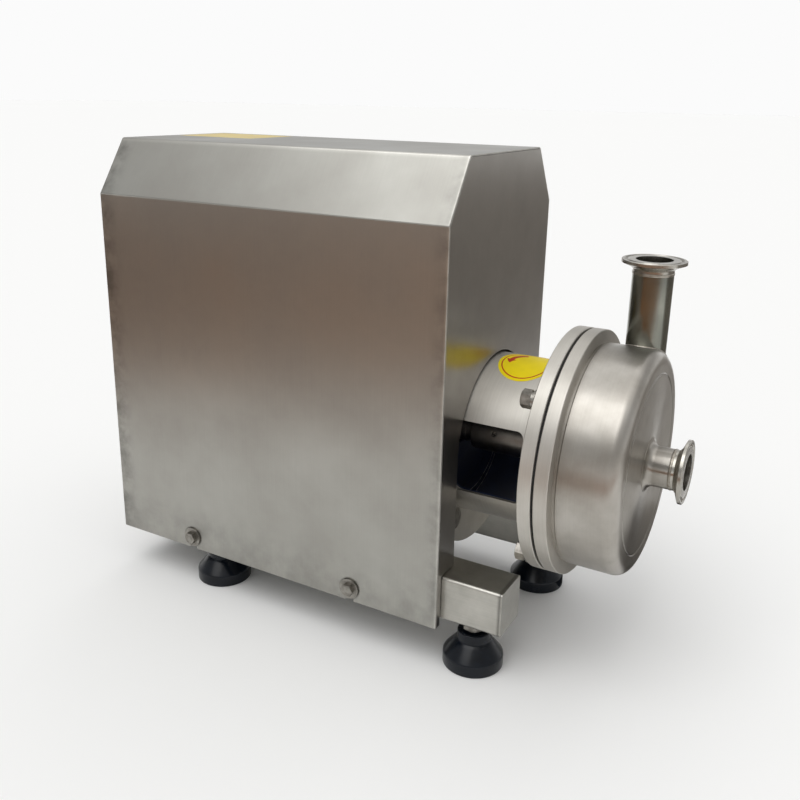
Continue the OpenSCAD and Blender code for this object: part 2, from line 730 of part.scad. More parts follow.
// Pump casing: flange, spun shell, pipes and clamp ferrules.
module casing_flange() {
  c = rim_edge;
  color(steel) difference() {
    rev([[cflange_in, x_cf], [flange_r - c, x_cf], [flange_r, x_cf + c], [flange_r, x_cs - c],
         [flange_r - c, x_cs], [cflange_in, x_cs]]);
    four(casing_pcr, bolt_turn) rod_x(x_cf - e, x_cs - 1.5, 4.05);
  }
}
module shell_outline(r, x0, x1, s) {
  translate([0, x0]) square([r - s, x1 - x0]);
  translate([0, x0]) square([r, x1 - x0 - s]);
  translate([r - s, x1 - s]) circle(s);
}
module shell_solid(r, x0, x1, s) {
  translate([0, 0, axis_z]) rotate([0, 90, 0]) rotate_extrude() intersection() {
    shell_outline(r, x0, x1, s);
    translate([0, x0]) square([r, x1 - x0]);
  }
}
module casing_shell() {
  k = casing_r - crease_in;
  color(steel) difference() {
    shell_solid(casing_r, x_cs, x_face, shoulder_r);
    shell_solid(casing_r - casing_wall, x_cs - e, x_face - casing_wall, shoulder_r - casing_wall);
    rev([[casing_r - neck_d, x_cs - e], [casing_r + 2, x_cs - e], [casing_r + 2, x_cs + neck_l],
         [casing_r, x_cs + neck_l], [casing_r - neck_d, x_cs + neck_l - 1]]);
    rev([[k, x_face - crease_d], [k + 3 * crease_d, x_face + crease_d / 2],
         [k - 3 * crease_d, x_face + crease_d / 2]]);
    bar(x_face - 20, x_face + e, pipe_in);
    translate([x_out, outlet_y, axis_z]) cylinder(h = 120, r = pipe_in);
  }
}
module inlet_pipe() {
  f = collar_fillet;
  edge = 0.25;
  color(steel) translate([x_face, 0, axis_z]) rotate([0, 90, 0]) rotate_extrude() difference() {
    union() {
      translate([pipe_in, 0]) square([pipe_wall, inlet_stub - ferrule_l]);
      translate([pipe_in, 0]) square([pipe_wall + f, f + edge]);
    }
    translate([pipe_r + f, f + edge]) circle(f);
  }
}
module ferrule() {
  difference() {
    rotate_extrude() polygon([[pipe_in, 0], [ferrule_r - 0.4, 0], [ferrule_r, -0.4],
      [ferrule_r, -ferrule_rim + 0.3], [ferrule_r - 0.6, -ferrule_rim],
      [pipe_r + 2.4, -ferrule_rim - 2.6], [pipe_r, -ferrule_rim - 4.6],
      [pipe_r, -ferrule_l], [pipe_in, -ferrule_l]]);
    rotate_extrude() translate([ferrule_r - 3.5, 0.6]) circle(1.6);
  }
}
module inlet_ferrule() {
  color(bright) translate([x_in, 0, axis_z]) rotate([0, 90, 0]) ferrule();
}
module outlet_pipe() {
  color(steel) difference() {
    translate([x_out, outlet_y, axis_z]) cylinder(h = outlet_z - ferrule_l - axis_z, r = pipe_r);
    translate([x_out, outlet_y, axis_z - e]) cylinder(h = outlet_z, r = pipe_in);
    shell_solid(casing_r, x_cs - 20, x_face, shoulder_r);
  }
}
module outlet_ferrule() {
  color(bright) translate([x_out, outlet_y, outlet_z]) ferrule();
}

// Turning parts: motor shaft, core, fan, stub shaft, seal head, impeller.
module motor_shaft() {
  x0 = x_fr0 - cowl_l + fan_gap;
  x1 = x_mj + mshaft_l;
  color(bright) rev([[0, x0], [fan_shaft_r, x0], [fan_shaft_r, x_rs0 - 2], [journal_r, x_rs0 - 2],
                     [journal_r, x_fr0 + 6], [core_shaft_r, x_fr0 + 6], [core_shaft_r, x_fr1 - 2],
                     [journal_r, x_fr1 - 2], [journal_r, x_mj], [mshaft_r, x_mj],
                     [mshaft_r, x1 - 1], [mshaft_r - 1, x1], [0, x1]]);
}
module rotor_core() {
  x0 = x_fr0 + stator_in + 4;
  x1 = x_fr1 - stator_in - 4;
  color([0.5, 0.5, 0.5]) rev([[core_shaft_r, x0], [core_r, x0], [core_r, x1], [core_shaft_r, x1]]);
}
module fan() {
  x0 = x_fr0 - cowl_l + fan_gap + 1;
  color(black) difference() {
    union() {
      bar(x0, x0 + fan_w, fan_boss_r);
      bar(x0 + fan_w - 3, x0 + fan_w, 0.6 * fan_r);
      for (i = [0 : 6]) translate([0, 0, axis_z]) rotate([i * 360 / 7, 0, 0])
        translate([x0, -1.2, fan_boss_r - 3]) cube([fan_w, 2.4, fan_r - fan_boss_r + 3]);
    }
    bar(x0 - 1, x0 + fan_w + 1, fan_shaft_r);
  }
}
module stub_shaft() {
  x0 = x_mj + 6;
  x1 = x_mj + mshaft_l + 8;
  color(bright) difference() {
    rev([[mshaft_r, x0], [hub_r - 1, x0], [hub_r, x0 + 1], [hub_r, x1 - 2], [hub_r - 2, x1], [shaft_r, x1],
         [shaft_r, x_imp - 4], [seat_shaft_r, x_imp - 4], [seat_shaft_r, x_imp + 14], [7, x_imp + 14],
         [7, x_imp + 26], [0, x_imp + 26], [0, x_mj + mshaft_l], [mshaft_r - 1, x_mj + mshaft_l],
         [mshaft_r, x_mj + mshaft_l - 1]]);
    for (a = set_screw_a) translate([x0 + set_screw_x, 0, axis_z]) rotate([a, 0, 0])
      translate([0, 0, mshaft_r - 1]) cylinder(h = hub_r, r = 3);
  }
}
module set_screws() {
  x = x_mj + 6 + set_screw_x;
  color(black) for (a = set_screw_a) translate([x, 0, axis_z]) rotate([a, 0, 0]) difference() {
    translate([0, 0, mshaft_r]) cylinder(h = hub_r - mshaft_r - 1, r = 3);
    translate([0, 0, hub_r - 4]) cylinder(h = 4, r = 1.7, $fn = 6);
    rotate([0, 90, 0]) translate([0, 0, -5]) cylinder(h = 10, r = mshaft_r);
  }
}
module seal_ring() {
  color(black) rev([[shaft_r, x_cf + 2.2], [18.5, x_cf + 2.2], [20, x_cf + 4], [20, x_cf + 8],
                    [shaft_r, x_cf + 8]]);
}
module seal_head() {
  color(bright) rev([[shaft_r, x_cf + 8], [21, x_cf + 8], [21, x_imp - 6], [19, x_imp - 4],
                     [shaft_r, x_imp - 4]]);
}
module impeller() {
  color(bright) difference() {
    union() {
      rev([[seat_shaft_r, x_imp - 4], [19, x_imp - 4], [19, x_imp], [impeller_r, x_imp],
           [impeller_r, x_imp + impeller_t], [24, x_imp + impeller_t], [15, x_imp + 12],
           [15, x_imp + 14], [seat_shaft_r, x_imp + 14]]);
      for (i = [0 : blade_n - 1])
        translate([0, 0, axis_z]) rotate([i * 360 / blade_n, 0, 0]) intersection() {
        difference() {
          translate([x_imp + 1, 40, 0]) rotate([0, 90, 0]) cylinder(h = blade_w + impeller_t - 1, r = 46);
          translate([x_imp, 40, 0]) rotate([0, 90, 0]) cylinder(h = blade_w + 20, r = 46 - blade_t);
        }
        difference() {
          translate([x_imp, 0, 0]) rotate([0, 90, 0]) cylinder(h = 60, r = impeller_r - 0.5);
          translate([x_imp - 1, 0, 0]) rotate([0, 90, 0]) cylinder(h = 70, r = 20);
        }
        translate([x_imp, -100, -200]) cube([60, 200, 200]);
      }
    }
    bar(x_imp - 5, x_imp + 15, seat_shaft_r);
  }
}
module impeller_nut() {
  color(bright) difference() {
    translate([0, 0, axis_z]) union() {
      hex_x(x_imp + 14, x_imp + 22, 22);
      rod_x(x_imp + 22, x_imp + 29, 10);
    }
    bar(x_imp + 13, x_imp + 26, 7);
  }
}

hood_wrap();
hood_front();
hood_rear();
hood_screws();
hood_washers();
hood_bosses();
rail_left();
rail_right();
rail_caps();
cross_tubes();
foot_bushes();
lock_nuts();
foot_fl_pad();
foot_fl_stem();
foot_fr_pad();
foot_fr_stem();
foot_rl_pad();
foot_rl_stem();
foot_rr_pad();
foot_rr_stem();
motor_pads();
motor_bolts();
motor_washers();
motor_nuts();
motor_frame();
front_shield();
rear_shield();
motor_stator();
front_bearing();
rear_bearing();
fan_cowl();
terminal_box();
terminal_lid();
lid_screws();
cable_gland();
lantern();
lantern_bolts();
lantern_nuts();
casing_bolts();
casing_washers();
back_cover();
flange_gasket();
cover_ring();
seal_seat();
casing_flange();
casing_shell();
inlet_pipe();
inlet_ferrule();
outlet_pipe();
outlet_ferrule();
motor_shaft();
rotor_core();
fan();
stub_shaft();
set_screws();
seal_ring();
seal_head();
impeller();
impeller_nut();
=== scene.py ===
"""Sanitary centrifugal pump: finishes, welds, threads, labels and a studio around its CAD frame."""

import math

import bmesh
import bpy
from bpy.props import FloatProperty, FloatVectorProperty, PointerProperty
from mathutils import Matrix, Vector


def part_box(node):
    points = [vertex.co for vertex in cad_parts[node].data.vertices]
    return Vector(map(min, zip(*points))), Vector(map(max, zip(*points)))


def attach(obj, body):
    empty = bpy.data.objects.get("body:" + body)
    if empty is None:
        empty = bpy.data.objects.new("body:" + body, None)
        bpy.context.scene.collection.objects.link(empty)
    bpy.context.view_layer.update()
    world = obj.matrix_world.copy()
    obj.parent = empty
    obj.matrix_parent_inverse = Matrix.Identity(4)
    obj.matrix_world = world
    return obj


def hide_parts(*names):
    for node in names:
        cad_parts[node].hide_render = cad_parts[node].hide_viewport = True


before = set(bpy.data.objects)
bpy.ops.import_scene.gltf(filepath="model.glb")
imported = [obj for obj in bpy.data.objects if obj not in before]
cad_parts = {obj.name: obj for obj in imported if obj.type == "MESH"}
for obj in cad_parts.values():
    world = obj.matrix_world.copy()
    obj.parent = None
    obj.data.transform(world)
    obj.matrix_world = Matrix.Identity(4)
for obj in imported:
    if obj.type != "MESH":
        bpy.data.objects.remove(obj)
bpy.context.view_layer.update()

bl_info = {
    "name": "Sanitary Pump",
    "version": (1, 0, 0),
    "blender": (4, 5, 0),
    "location": "View3D > Sidebar > Pump",
    "description": "Finishes a sanitary centrifugal pump on its CAD frame",
    "category": "Object",
}

MM = 0.001
FEET = ("foot_fl", "foot_fr", "foot_rl", "foot_rr")
SHAFT_Z = (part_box("casing_flange")[0][2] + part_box("casing_flange")[1][2]) / 2
ALONG_SHAFT = Matrix.Rotation(math.pi / 2, 4, "Y")


def linear(code):
    """Linear colour, with alpha, of an sRGB hex value."""
    parts = [int(code[i:i + 2], 16) / 255 for i in (1, 3, 5)]
    parts = [c / 12.92 if c <= 0.04045 else ((c + 0.055) / 1.055) ** 2.4 for c in parts]
    return (*parts, 1.0)


def add(tree, kind, values=None, links=None, **settings):
    """Adds one node with its settings, its socket values and its links."""
    node = tree.nodes.new(kind)
    for key, value in settings.items():
        setattr(node, key, value)
    for socket, value in (values or {}).items():
        node.inputs[socket].default_value = value
    for socket, source in (links or {}).items():
        tree.links.new(source, node.inputs[socket])
    return node


def blank_material(name, **constants):
    """A material with one surface shader, whose constant sockets are set straight away."""
    material = bpy.data.materials.new(name)
    material.use_nodes = True
    tree = material.node_tree
    tree.nodes.clear()
    shader = add(tree, "ShaderNodeBsdfPrincipled", constants)
    add(tree, "ShaderNodeOutputMaterial", links={"Surface": shader.outputs[0]})
    return material, tree, shader


# Each steel: light and dark tone, roughness range, size of its lines in mm (along X, Y and Z, or
# as rings round the shaft), size of its clouds in mm, stretch of its highlights with the axis
# round which they run and their turn, depth of its lines, and grain, how strongly lines show.
# Real lines are near 0.1 mm wide. Here they are 0.6 to 1.2 mm wide, so that a render shows them.
STEELS = {
    # Cold rolled sheet, belt brushed up and down: soft grain, cloudy handling marks, dull sheen.
    "stainless_sheet_brushed": dict(
        light="#AEADA7", dark="#A2A09A", rough=(0.33, 0.39), lines=(0.9, 90, 90), cloud=80,
        stretch=0.25, axis="X", turn=0.25, depth=0.02, grain=0.5),
    # The same sheet in the welded end walls, where the grain crosses Y.
    "stainless_wall_brushed": dict(
        light="#A9A6A1", dark="#9B9792", rough=(0.27, 0.33), lines=(90, 0.9, 90), cloud=60,
        stretch=0.5, axis="Z", turn=0.0, depth=0.02, grain=0.5),
    # Drawn square tube, mill finish: long faint draw lines and grey patches.
    "stainless_tube_drawn": dict(
        light="#C6C4BD", dark="#A5A39C", rough=(0.26, 0.38), lines=(50, 0.8, 0.8), cloud=45,
        stretch=0.3, axis="X", turn=0.0, depth=0.05),
    # Lathe turned plate and tube: fine rings round the shaft and a silky pale grey.
    "stainless_turned": dict(
        light="#CFCCC5", dark="#BEBAB2", rough=(0.43, 0.51), rings=0.7, cloud=60,
        stretch=0.3, axis="X", turn=0.25, depth=0.05),
    # The same work on the casing's flange, the cover and the impeller.
    "stainless_turned_flange": dict(
        light="#CAC6BF", dark="#B9B5AD", rough=(0.43, 0.51), rings=0.7, cloud=60,
        stretch=0.3, axis="X", turn=0.25, depth=0.05),
    # Spun and fan polished dish: rings, soft wide light and dark sectors.
    "stainless_spun": dict(
        light="#B7B3AC", dark="#A09B93", rough=(0.34, 0.41), rings=0.8, cloud=36,
        stretch=0.4, axis="X", turn=0.25, depth=0.04, grain=0.7),
    # The dish's face, turned after spinning: light fans out in sectors from the middle.
    "stainless_face_turned": dict(
        light="#B7B3AC", dark="#A39E96", rough=(0.29, 0.35), rings=0.7, cloud=36,
        stretch=0.85, axis="X", turn=0.25, depth=0.05),
    # Welded sanitary tube, satin polished: dark olive grey with faint lines along the tube.
    "stainless_pipe_satin": dict(
        light="#98998F", dark="#767770", rough=(0.18, 0.28), lines=(0.7, 0.7, 40), cloud=40,
        stretch=0.3, axis="Z", turn=0.0, depth=0.04),
    # Machined and polished clamp ends: the brightest steel, with sharp edges of light.
    "stainless_polished": dict(
        light="#BDBAB2", dark="#A29E96", rough=(0.20, 0.30), rings=0.6, cloud=18,
        stretch=0.2, axis="X", turn=0.25, depth=0.03),
    # Cold formed screws and nuts: bright, a little uneven.
    "stainless_cold_formed": dict(
        light="#A3A099", dark="#75716B", rough=(0.26, 0.38), lines=(0.8, 0.8, 0.8), cloud=5,
        stretch=0.0, axis="X", turn=0.0, depth=0.06),
    # Weld metal, brushed after welding: scaly ripples with straw and grey tint.
    "weld_metal_brushed": dict(
        light="#B7B2A8", dark="#827A70", rough=(0.24, 0.42), lines=(0.8, 0.8, 0.8), cloud=4,
        stretch=0.0, axis="X", turn=0.0, depth=0.2),
    # Ground shaft steel with a thin oil film: smooth, dark grey.
    "shaft_steel_ground": dict(
        light="#A8A39C", dark="#87827B", rough=(0.34, 0.44), rings=0.6, cloud=20,
        stretch=0.2, axis="X", turn=0.25, depth=0.03),
    # Iron rubbed bare at an edge, toned pale beyond bare iron as a painted highlight: bright
    # scratches, matt.
    "bare_iron_painted_highlight": dict(
        light="#EDEBE7", dark="#8E8B86", rough=(0.50, 0.70), lines=(1.2, 1.2, 1.2), cloud=5,
        stretch=0.0, axis="X", turn=0.0, depth=0.1),
    # Stacked electrical sheet: dark grey with the edges of the sheets as rings.
    "lamination_stacked": dict(
        light="#6E6C69", dark="#4A4845", rough=(0.40, 0.55), rings=0.6, cloud=18,
        stretch=0.0, axis="X", turn=0.0, depth=0.3),
    # Hardened bearing rings: fine ground and bright.
    "bearing_steel_ground": dict(
        light="#B9B8B6", dark="#8F8E8C", rough=(0.16, 0.26), rings=0.7, cloud=12,
        stretch=0.3, axis="X", turn=0.25, depth=0.03),
}

# Each coated or moulded surface: light and dark tone, roughness range, size of its texture and of
# its clouds in mm, depth of its texture, clear coat, and shine, the level of its gloss.
COATED = {
    # Glass filled nylon, moulded: near black with a fine spark texture and a soft shine.
    "nylon_moulded_black": dict(
        light="#0C131C", dark="#060A10", rough=(0.20, 0.28), grit=0.8, cloud=14, depth=0.03,
        coat=0.0, shine=0.32),
    # Cast iron under navy primer: sandy skin, dull.
    "cast_iron_primed": dict(
        light="#1E2843", dark="#151C30", rough=(0.42, 0.56), grit=1.4, cloud=18, depth=0.15,
        coat=0.0),
    # The same navy, laid in the lantern's bore as painted shade.
    "navy_bore_painted_shade": dict(
        light="#1E2843", dark="#151C30", rough=(0.42, 0.56), grit=1.4, cloud=20, depth=0.1,
        coat=0.0),
    # Plain vinyl label, a little faded and soiled.
    "vinyl_label_faded": dict(
        light="#E0CB80", dark="#D0B868", rough=(0.36, 0.46), grit=1.0, cloud=28, depth=0.02,
        coat=0.0),
    # Sprayed machine enamel over a casting: even blue grey with a light orange peel.
    "enamel_sprayed": dict(
        light="#4A5A66", dark="#3B4852", rough=(0.28, 0.40), grit=2.2, cloud=30, depth=0.08,
        coat=0.15),
    # Rubber sheet: matt black with a dusty bloom.
    "rubber_sheet": dict(
        light="#232323", dark="#141414", rough=(0.62, 0.78), grit=1.0, cloud=9, depth=0.1,
        coat=0.0),
    # Lapped ceramic seal face: ivory, dense and smooth.
    "ceramic_lapped": dict(
        light="#E2DCCB", dark="#D2CAB6", rough=(0.16, 0.24), grit=1.0, cloud=8, depth=0.01,
        coat=0.0),
    # Pressed carbon: black with a graphite shine.
    "carbon_pressed": dict(
        light="#2B2C2F", dark="#1B1C1E", rough=(0.30, 0.42), grit=0.8, cloud=6, depth=0.04,
        coat=0.0),
}

# Finishes made so far, by name.
MADE = {}
# Where most of a noise's values lie, for fine patterns and for clouds.
NOISE = {"From Min": 0.3, "From Max": 0.7}
CLOUDS = {"From Min": 0.32, "From Max": 0.68}
STREAK_DARK, STREAK_LIGHT = 0.035, 0.03
LINE_DEPTH, GRIT_DEPTH = 0.4 * MM, 0.6 * MM
COAT_IOR, COAT_ROUGH = 1.5, 0.12


def per_mm(*sizes):
    """Pattern scale per metre that gives features of these sizes in mm."""
    return tuple(1 / (size * MM) for size in sizes)


def along(tree, place, axis):
    """A point's X, Y or Z, or its distance R from the shaft's axis, in metres."""
    parts = add(tree, "ShaderNodeSeparateXYZ", links={"Vector": place}).outputs
    if axis != "R":
        return parts[axis]
    across = add(tree, "ShaderNodeCombineXYZ", links={"Y": parts["Y"], "Z": parts["Z"]})
    return add(tree, "ShaderNodeVectorMath", {1: (0, 0, SHAFT_Z)}, {0: across.outputs[0]},
               operation="DISTANCE").outputs["Value"]


def steel(tree, shader, spec):
    """Bare steel: lines from working, clouds from handling, highlights stretched over the lines."""
    grain = spec.get("grain", 1.0)
    low, high = spec["rough"]
    place = add(tree, "ShaderNodeTexCoord").outputs["Object"]
    if "rings" in spec:
        rings = add(tree, "ShaderNodeCombineXYZ",
                    links={"X": along(tree, place, "X"), "Y": along(tree, place, "R")})
        source, sizes = rings.outputs[0], (spec["rings"], spec["rings"], 1)
    else:
        source, sizes = place, spec["lines"]
    lay = add(tree, "ShaderNodeMapping", {"Scale": per_mm(*sizes)}, {"Vector": source})
    lines = add(tree, "ShaderNodeTexNoise", {"Scale": 1.0, "Detail": 2.0, "Roughness": 0.6},
                {"Vector": lay.outputs[0]}).outputs["Fac"]
    cloud = add(tree, "ShaderNodeTexNoise",
                {"Scale": per_mm(spec["cloud"])[0], "Detail": 5.0, "Roughness": 0.58},
                {"Vector": place}).outputs["Fac"]
    tone = add(tree, "ShaderNodeMapRange", CLOUDS, {"Value": cloud})
    body = add(tree, "ShaderNodeMix", {6: linear(spec["dark"]), 7: linear(spec["light"])},
               {0: tone.outputs[0]}, data_type="RGBA")
    streak = add(tree, "ShaderNodeMapRange",
                 {**NOISE, "To Min": 1 - STREAK_DARK * grain, "To Max": 1 + STREAK_LIGHT * grain},
                 {"Value": lines})
    colour = add(tree, "ShaderNodeVectorMath",
                 links={0: body.outputs[2], "Scale": streak.outputs[0]}, operation="SCALE")
    # Roughness follows the clouds, and the lines up to half as much.
    share = 0.5 * grain
    mixed = add(tree, "ShaderNodeMath", {1: share}, {0: lines, 2: cloud}, operation="MULTIPLY_ADD")
    rough = add(tree, "ShaderNodeMapRange",
                {"From Min": NOISE["From Min"] * (1 + share),
                 "From Max": NOISE["From Max"] * (1 + share), "To Min": high, "To Max": low},
                {"Value": mixed.outputs[0]})
    bump = add(tree, "ShaderNodeBump", {"Strength": spec["depth"], "Distance": LINE_DEPTH},
               {"Height": lines})
    shader.inputs["Metallic"].default_value = 1.0
    shader.inputs["Anisotropic"].default_value = spec["stretch"]
    shader.inputs["Anisotropic Rotation"].default_value = spec["turn"]
    tree.links.new(colour.outputs[0], shader.inputs["Base Color"])
    tree.links.new(rough.outputs[0], shader.inputs["Roughness"])
    tree.links.new(bump.outputs[0], shader.inputs["Normal"])
    if spec["stretch"]:
        tangent = add(tree, "ShaderNodeTangent", direction_type="RADIAL", axis=spec["axis"])
        tree.links.new(tangent.outputs[0], shader.inputs["Tangent"])


def coat_tones(tree, spec, place):
    """Colour and roughness of a coat, which drift together in clouds."""
    low, high = spec["rough"]
    cloud = add(tree, "ShaderNodeTexNoise", {"Scale": per_mm(spec["cloud"])[0], "Detail": 4.0},
                {"Vector": place}).outputs["Fac"]
    tone = add(tree, "ShaderNodeMapRange", NOISE, {"Value": cloud})
    body = add(tree, "ShaderNodeMix", {6: linear(spec["dark"]), 7: linear(spec["light"])},
               {0: tone.outputs[0]}, data_type="RGBA")
    rough = add(tree, "ShaderNodeMapRange", {**NOISE, "To Min": low, "To Max": high},
                {"Value": cloud})
    return body.outputs[2], rough.outputs[0]


def coated(tree, shader, spec):
    """Paint, plastic, rubber, ceramic or vinyl: a toned body with a fine surface texture."""
    for socket, value in (("IOR", COAT_IOR), ("Coat Weight", spec["coat"]),
                          ("Coat Roughness", COAT_ROUGH),
                          ("Specular IOR Level", spec.get("shine", 0.5))):
        shader.inputs[socket].default_value = value
    place = add(tree, "ShaderNodeTexCoord").outputs["Object"]
    colour, rough = coat_tones(tree, spec, place)
    grit = add(tree, "ShaderNodeTexNoise", {"Scale": per_mm(spec["grit"])[0], "Detail": 2.0},
               {"Vector": place})
    bump = add(tree, "ShaderNodeBump", {"Strength": spec["depth"], "Distance": GRIT_DEPTH},
               {"Height": grit.outputs["Fac"]})
    tree.links.new(colour, shader.inputs["Base Color"])
    tree.links.new(rough, shader.inputs["Roughness"])
    tree.links.new(bump.outputs[0], shader.inputs["Normal"])


def finish(name):
    """The material of that name, made on first use."""
    if name not in MADE:
        MADE[name], tree, shader = blank_material(name)
        if name in STEELS:
            steel(tree, shader, STEELS[name])
        else:
            coated(tree, shader, COATED[name])
    return MADE[name]


def shaders_of(tree):
    """A material's surface shaders, the first one made first."""
    return [node for node in tree.nodes if node.type == "BSDF_PRINCIPLED"]


def coat_over(material, limits, name):
    """Coats the part of a steel that lies inside limits on X, Y, Z or the radius R, in metres."""
    tree = material.node_tree
    shader = shaders_of(tree)[0]
    place = add(tree, "ShaderNodeTexCoord").outputs["Object"]
    inside = None
    for axis, start, end in limits:
        within = add(tree, "ShaderNodeMath", {1: (start + end) / 2, 2: (end - start) / 2},
                     {0: along(tree, place, axis)}, operation="COMPARE").outputs[0]
        if inside is not None:
            within = add(tree, "ShaderNodeMath", links={0: inside, 1: within},
                         operation="MULTIPLY").outputs[0]
        inside = within
    colour, rough = coat_tones(tree, COATED[name], place)
    under = shader.inputs["Base Color"].links[0].from_socket
    mixed = add(tree, "ShaderNodeMix", links={0: inside, 6: under, 7: colour}, data_type="RGBA")
    tree.links.new(mixed.outputs[2], shader.inputs["Base Color"])
    under = shader.inputs["Roughness"].links[0].from_socket
    mixed = add(tree, "ShaderNodeMix", links={0: inside, 2: under, 3: rough}, data_type="FLOAT")
    tree.links.new(mixed.outputs[0], shader.inputs["Roughness"])
    bare = add(tree, "ShaderNodeMath", {0: 1.0}, {1: inside}, operation="SUBTRACT")
    tree.links.new(bare.outputs[0], shader.inputs["Metallic"])


def steel_over(material, name, start, end):
    """Blends a second steel into a material along X, from start to end in metres."""
    tree = material.node_tree
    first = shaders_of(tree)[0].outputs[0]
    surface = first.links[0].to_socket
    second = add(tree, "ShaderNodeBsdfPrincipled")
    steel(tree, second, STEELS[name])
    place = add(tree, "ShaderNodeTexCoord").outputs["Object"]
    share = add(tree, "ShaderNodeMapRange", {"From Min": start, "From Max": end},
                {"Value": along(tree, place, "X")})
    both = add(tree, "ShaderNodeMixShader",
               links={0: share.outputs[0], 1: first, 2: second.outputs[0]})
    tree.links.new(both.outputs[0], surface)


def scale_colour(tree, amount, full):
    """Scales the colour of each of a tree's surface shaders, by full where amount is 1."""
    scale = add(tree, "ShaderNodeMapRange", {"To Min": 1.0, "To Max": full}, {"Value": amount})
    for shader in shaders_of(tree):
        under = shader.inputs["Base Color"].links[0].from_socket
        scaled = add(tree, "ShaderNodeVectorMath", links={0: under, "Scale": scale.outputs[0]},
                     operation="SCALE")
        tree.links.new(scaled.outputs[0], shader.inputs["Base Color"])


def tint_and_painted_light_lines(material, lines, width, gain):
    """Brightens or dulls a steel along lines, as painted highlight, painted shade or tint. Each
    line is X, Y, Z or the radius R, and a place.
    """
    tree = material.node_tree
    place = add(tree, "ShaderNodeTexCoord").outputs["Object"]
    for axis, at in lines:
        off = add(tree, "ShaderNodeMath", {1: at}, {0: along(tree, place, axis)},
                  operation="SUBTRACT")
        away = add(tree, "ShaderNodeMath", links={0: off.outputs[0]}, operation="ABSOLUTE")
        near = add(tree, "ShaderNodeMapRange", {"From Max": width, "To Min": 1.0, "To Max": 0.0},
                   {"Value": away.outputs[0]}, interpolation_type="SMOOTHSTEP")
        scale_colour(tree, near.outputs[0], gain)


def painted_shadow_rings(material, centres, radius, width, gain):
    """Paints shadow in a narrow ring round each of a sheet's screws. Centres are (X, Z) in metres.
    """
    tree = material.node_tree
    place = add(tree, "ShaderNodeTexCoord").outputs["Object"]
    flat = add(tree, "ShaderNodeVectorMath", {1: (1, 0, 1)}, {0: place}, operation="MULTIPLY")
    for x, z in centres:
        away = add(tree, "ShaderNodeVectorMath", {1: (x, 0, z)}, {0: flat.outputs[0]},
                   operation="DISTANCE")
        near = add(tree, "ShaderNodeMapRange",
                   {"From Min": radius, "From Max": radius + width, "To Min": 1.0, "To Max": 0.0},
                   {"Value": away.outputs["Value"]})
        scale_colour(tree, near.outputs[0], gain)


def grime(material, axis, edge, end, patch, depth):
    """Darkens a steel in patches, sized in mm, from an edge on an axis to where they fade out."""
    tree = material.node_tree
    place = add(tree, "ShaderNodeTexCoord").outputs["Object"]
    noise = add(tree, "ShaderNodeTexNoise",
                {"Scale": per_mm(patch)[0], "Detail": 6.0, "Roughness": 0.62}, {"Vector": place})
    soil = add(tree, "ShaderNodeMapRange", {"From Min": 0.38, "From Max": 0.66},
               {"Value": noise.outputs["Fac"]})
    near = add(tree, "ShaderNodeMapRange",
               {"From Min": edge, "From Max": end, "To Min": 1.0, "To Max": 0.0},
               {"Value": along(tree, place, axis)}, interpolation_type="SMOOTHSTEP")
    amount = add(tree, "ShaderNodeMath", links={0: near.outputs[0], 1: soil.outputs[0]},
                 operation="MULTIPLY")
    scale_colour(tree, amount.outputs[0], 1.0 - depth)


# Sheet edges: gap that is welded shut, angle below which faces are one flat, angle that is
# rounded, steps of the rounding. New pieces: angle from which an edge stays sharp.
JOIN_GAP = 0.002 * MM
FLAT_ANGLE = math.radians(0.3)
EDGE_ANGLE = math.radians(40)
EDGE_STEPS = 3
SHARP_ANGLE = math.radians(38)


def dress(name, *nodes, edge=0.0):
    """Gives CAD nodes a finish, and rounded edges where a radius is asked for."""
    for node in nodes:
        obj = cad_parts[node]
        obj.data.materials.clear()
        obj.data.materials.append(finish(name))
        if edge:
            weld = obj.modifiers.new("Join", "WELD")
            weld.merge_threshold = JOIN_GAP
            flat = obj.modifiers.new("Flat", "DECIMATE")
            flat.decimate_type = "DISSOLVE"
            flat.angle_limit = FLAT_ANGLE
            bevel = obj.modifiers.new("Edge", "BEVEL")
            bevel.width = edge
            bevel.segments = EDGE_STEPS
            bevel.limit_method = "ANGLE"
            bevel.angle_limit = EDGE_ANGLE
            bevel.harden_normals = True


def piece(name, bm, material, body, nodes=()):
    """Turns a finished mesh into a piece that rides on a body and may stand for CAD nodes."""
    bmesh.ops.recalc_face_normals(bm, faces=bm.faces)
    mesh = bpy.data.meshes.new(name)
    bm.to_mesh(mesh)
    bm.free()
    mesh.materials.append(material)
    mesh.shade_smooth()
    mesh.set_sharp_from_angle(angle=SHARP_ANGLE)
    obj = bpy.data.objects.new(name, mesh)
    bpy.context.scene.collection.objects.link(obj)
    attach(obj, body)
    if nodes:
        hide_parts(*nodes)


def bridge(bm, rows, closed_ends):
    """Joins rows of vertices, each closed on itself, into a skin. The last may meet the first."""
    count = len(rows[0])
    for i in range(len(rows) if closed_ends else len(rows) - 1):
        here, there = rows[i], rows[(i + 1) % len(rows)]
        for j in range(count):
            k = (j + 1) % count
            bm.faces.new((here[j], here[k], there[k], there[j]))


def lathe(bm, profile, place, steps):
    """Turns a closed profile of (radius, height) in mm round the Z axis of a placing matrix."""
    rows = []
    for i in range(steps):
        a = 2 * math.pi * i / steps
        rows.append([bm.verts.new(place @ Vector((r * MM * math.cos(a), r * MM * math.sin(a),
                                                  h * MM))) for r, h in profile])
    bridge(bm, rows, True)


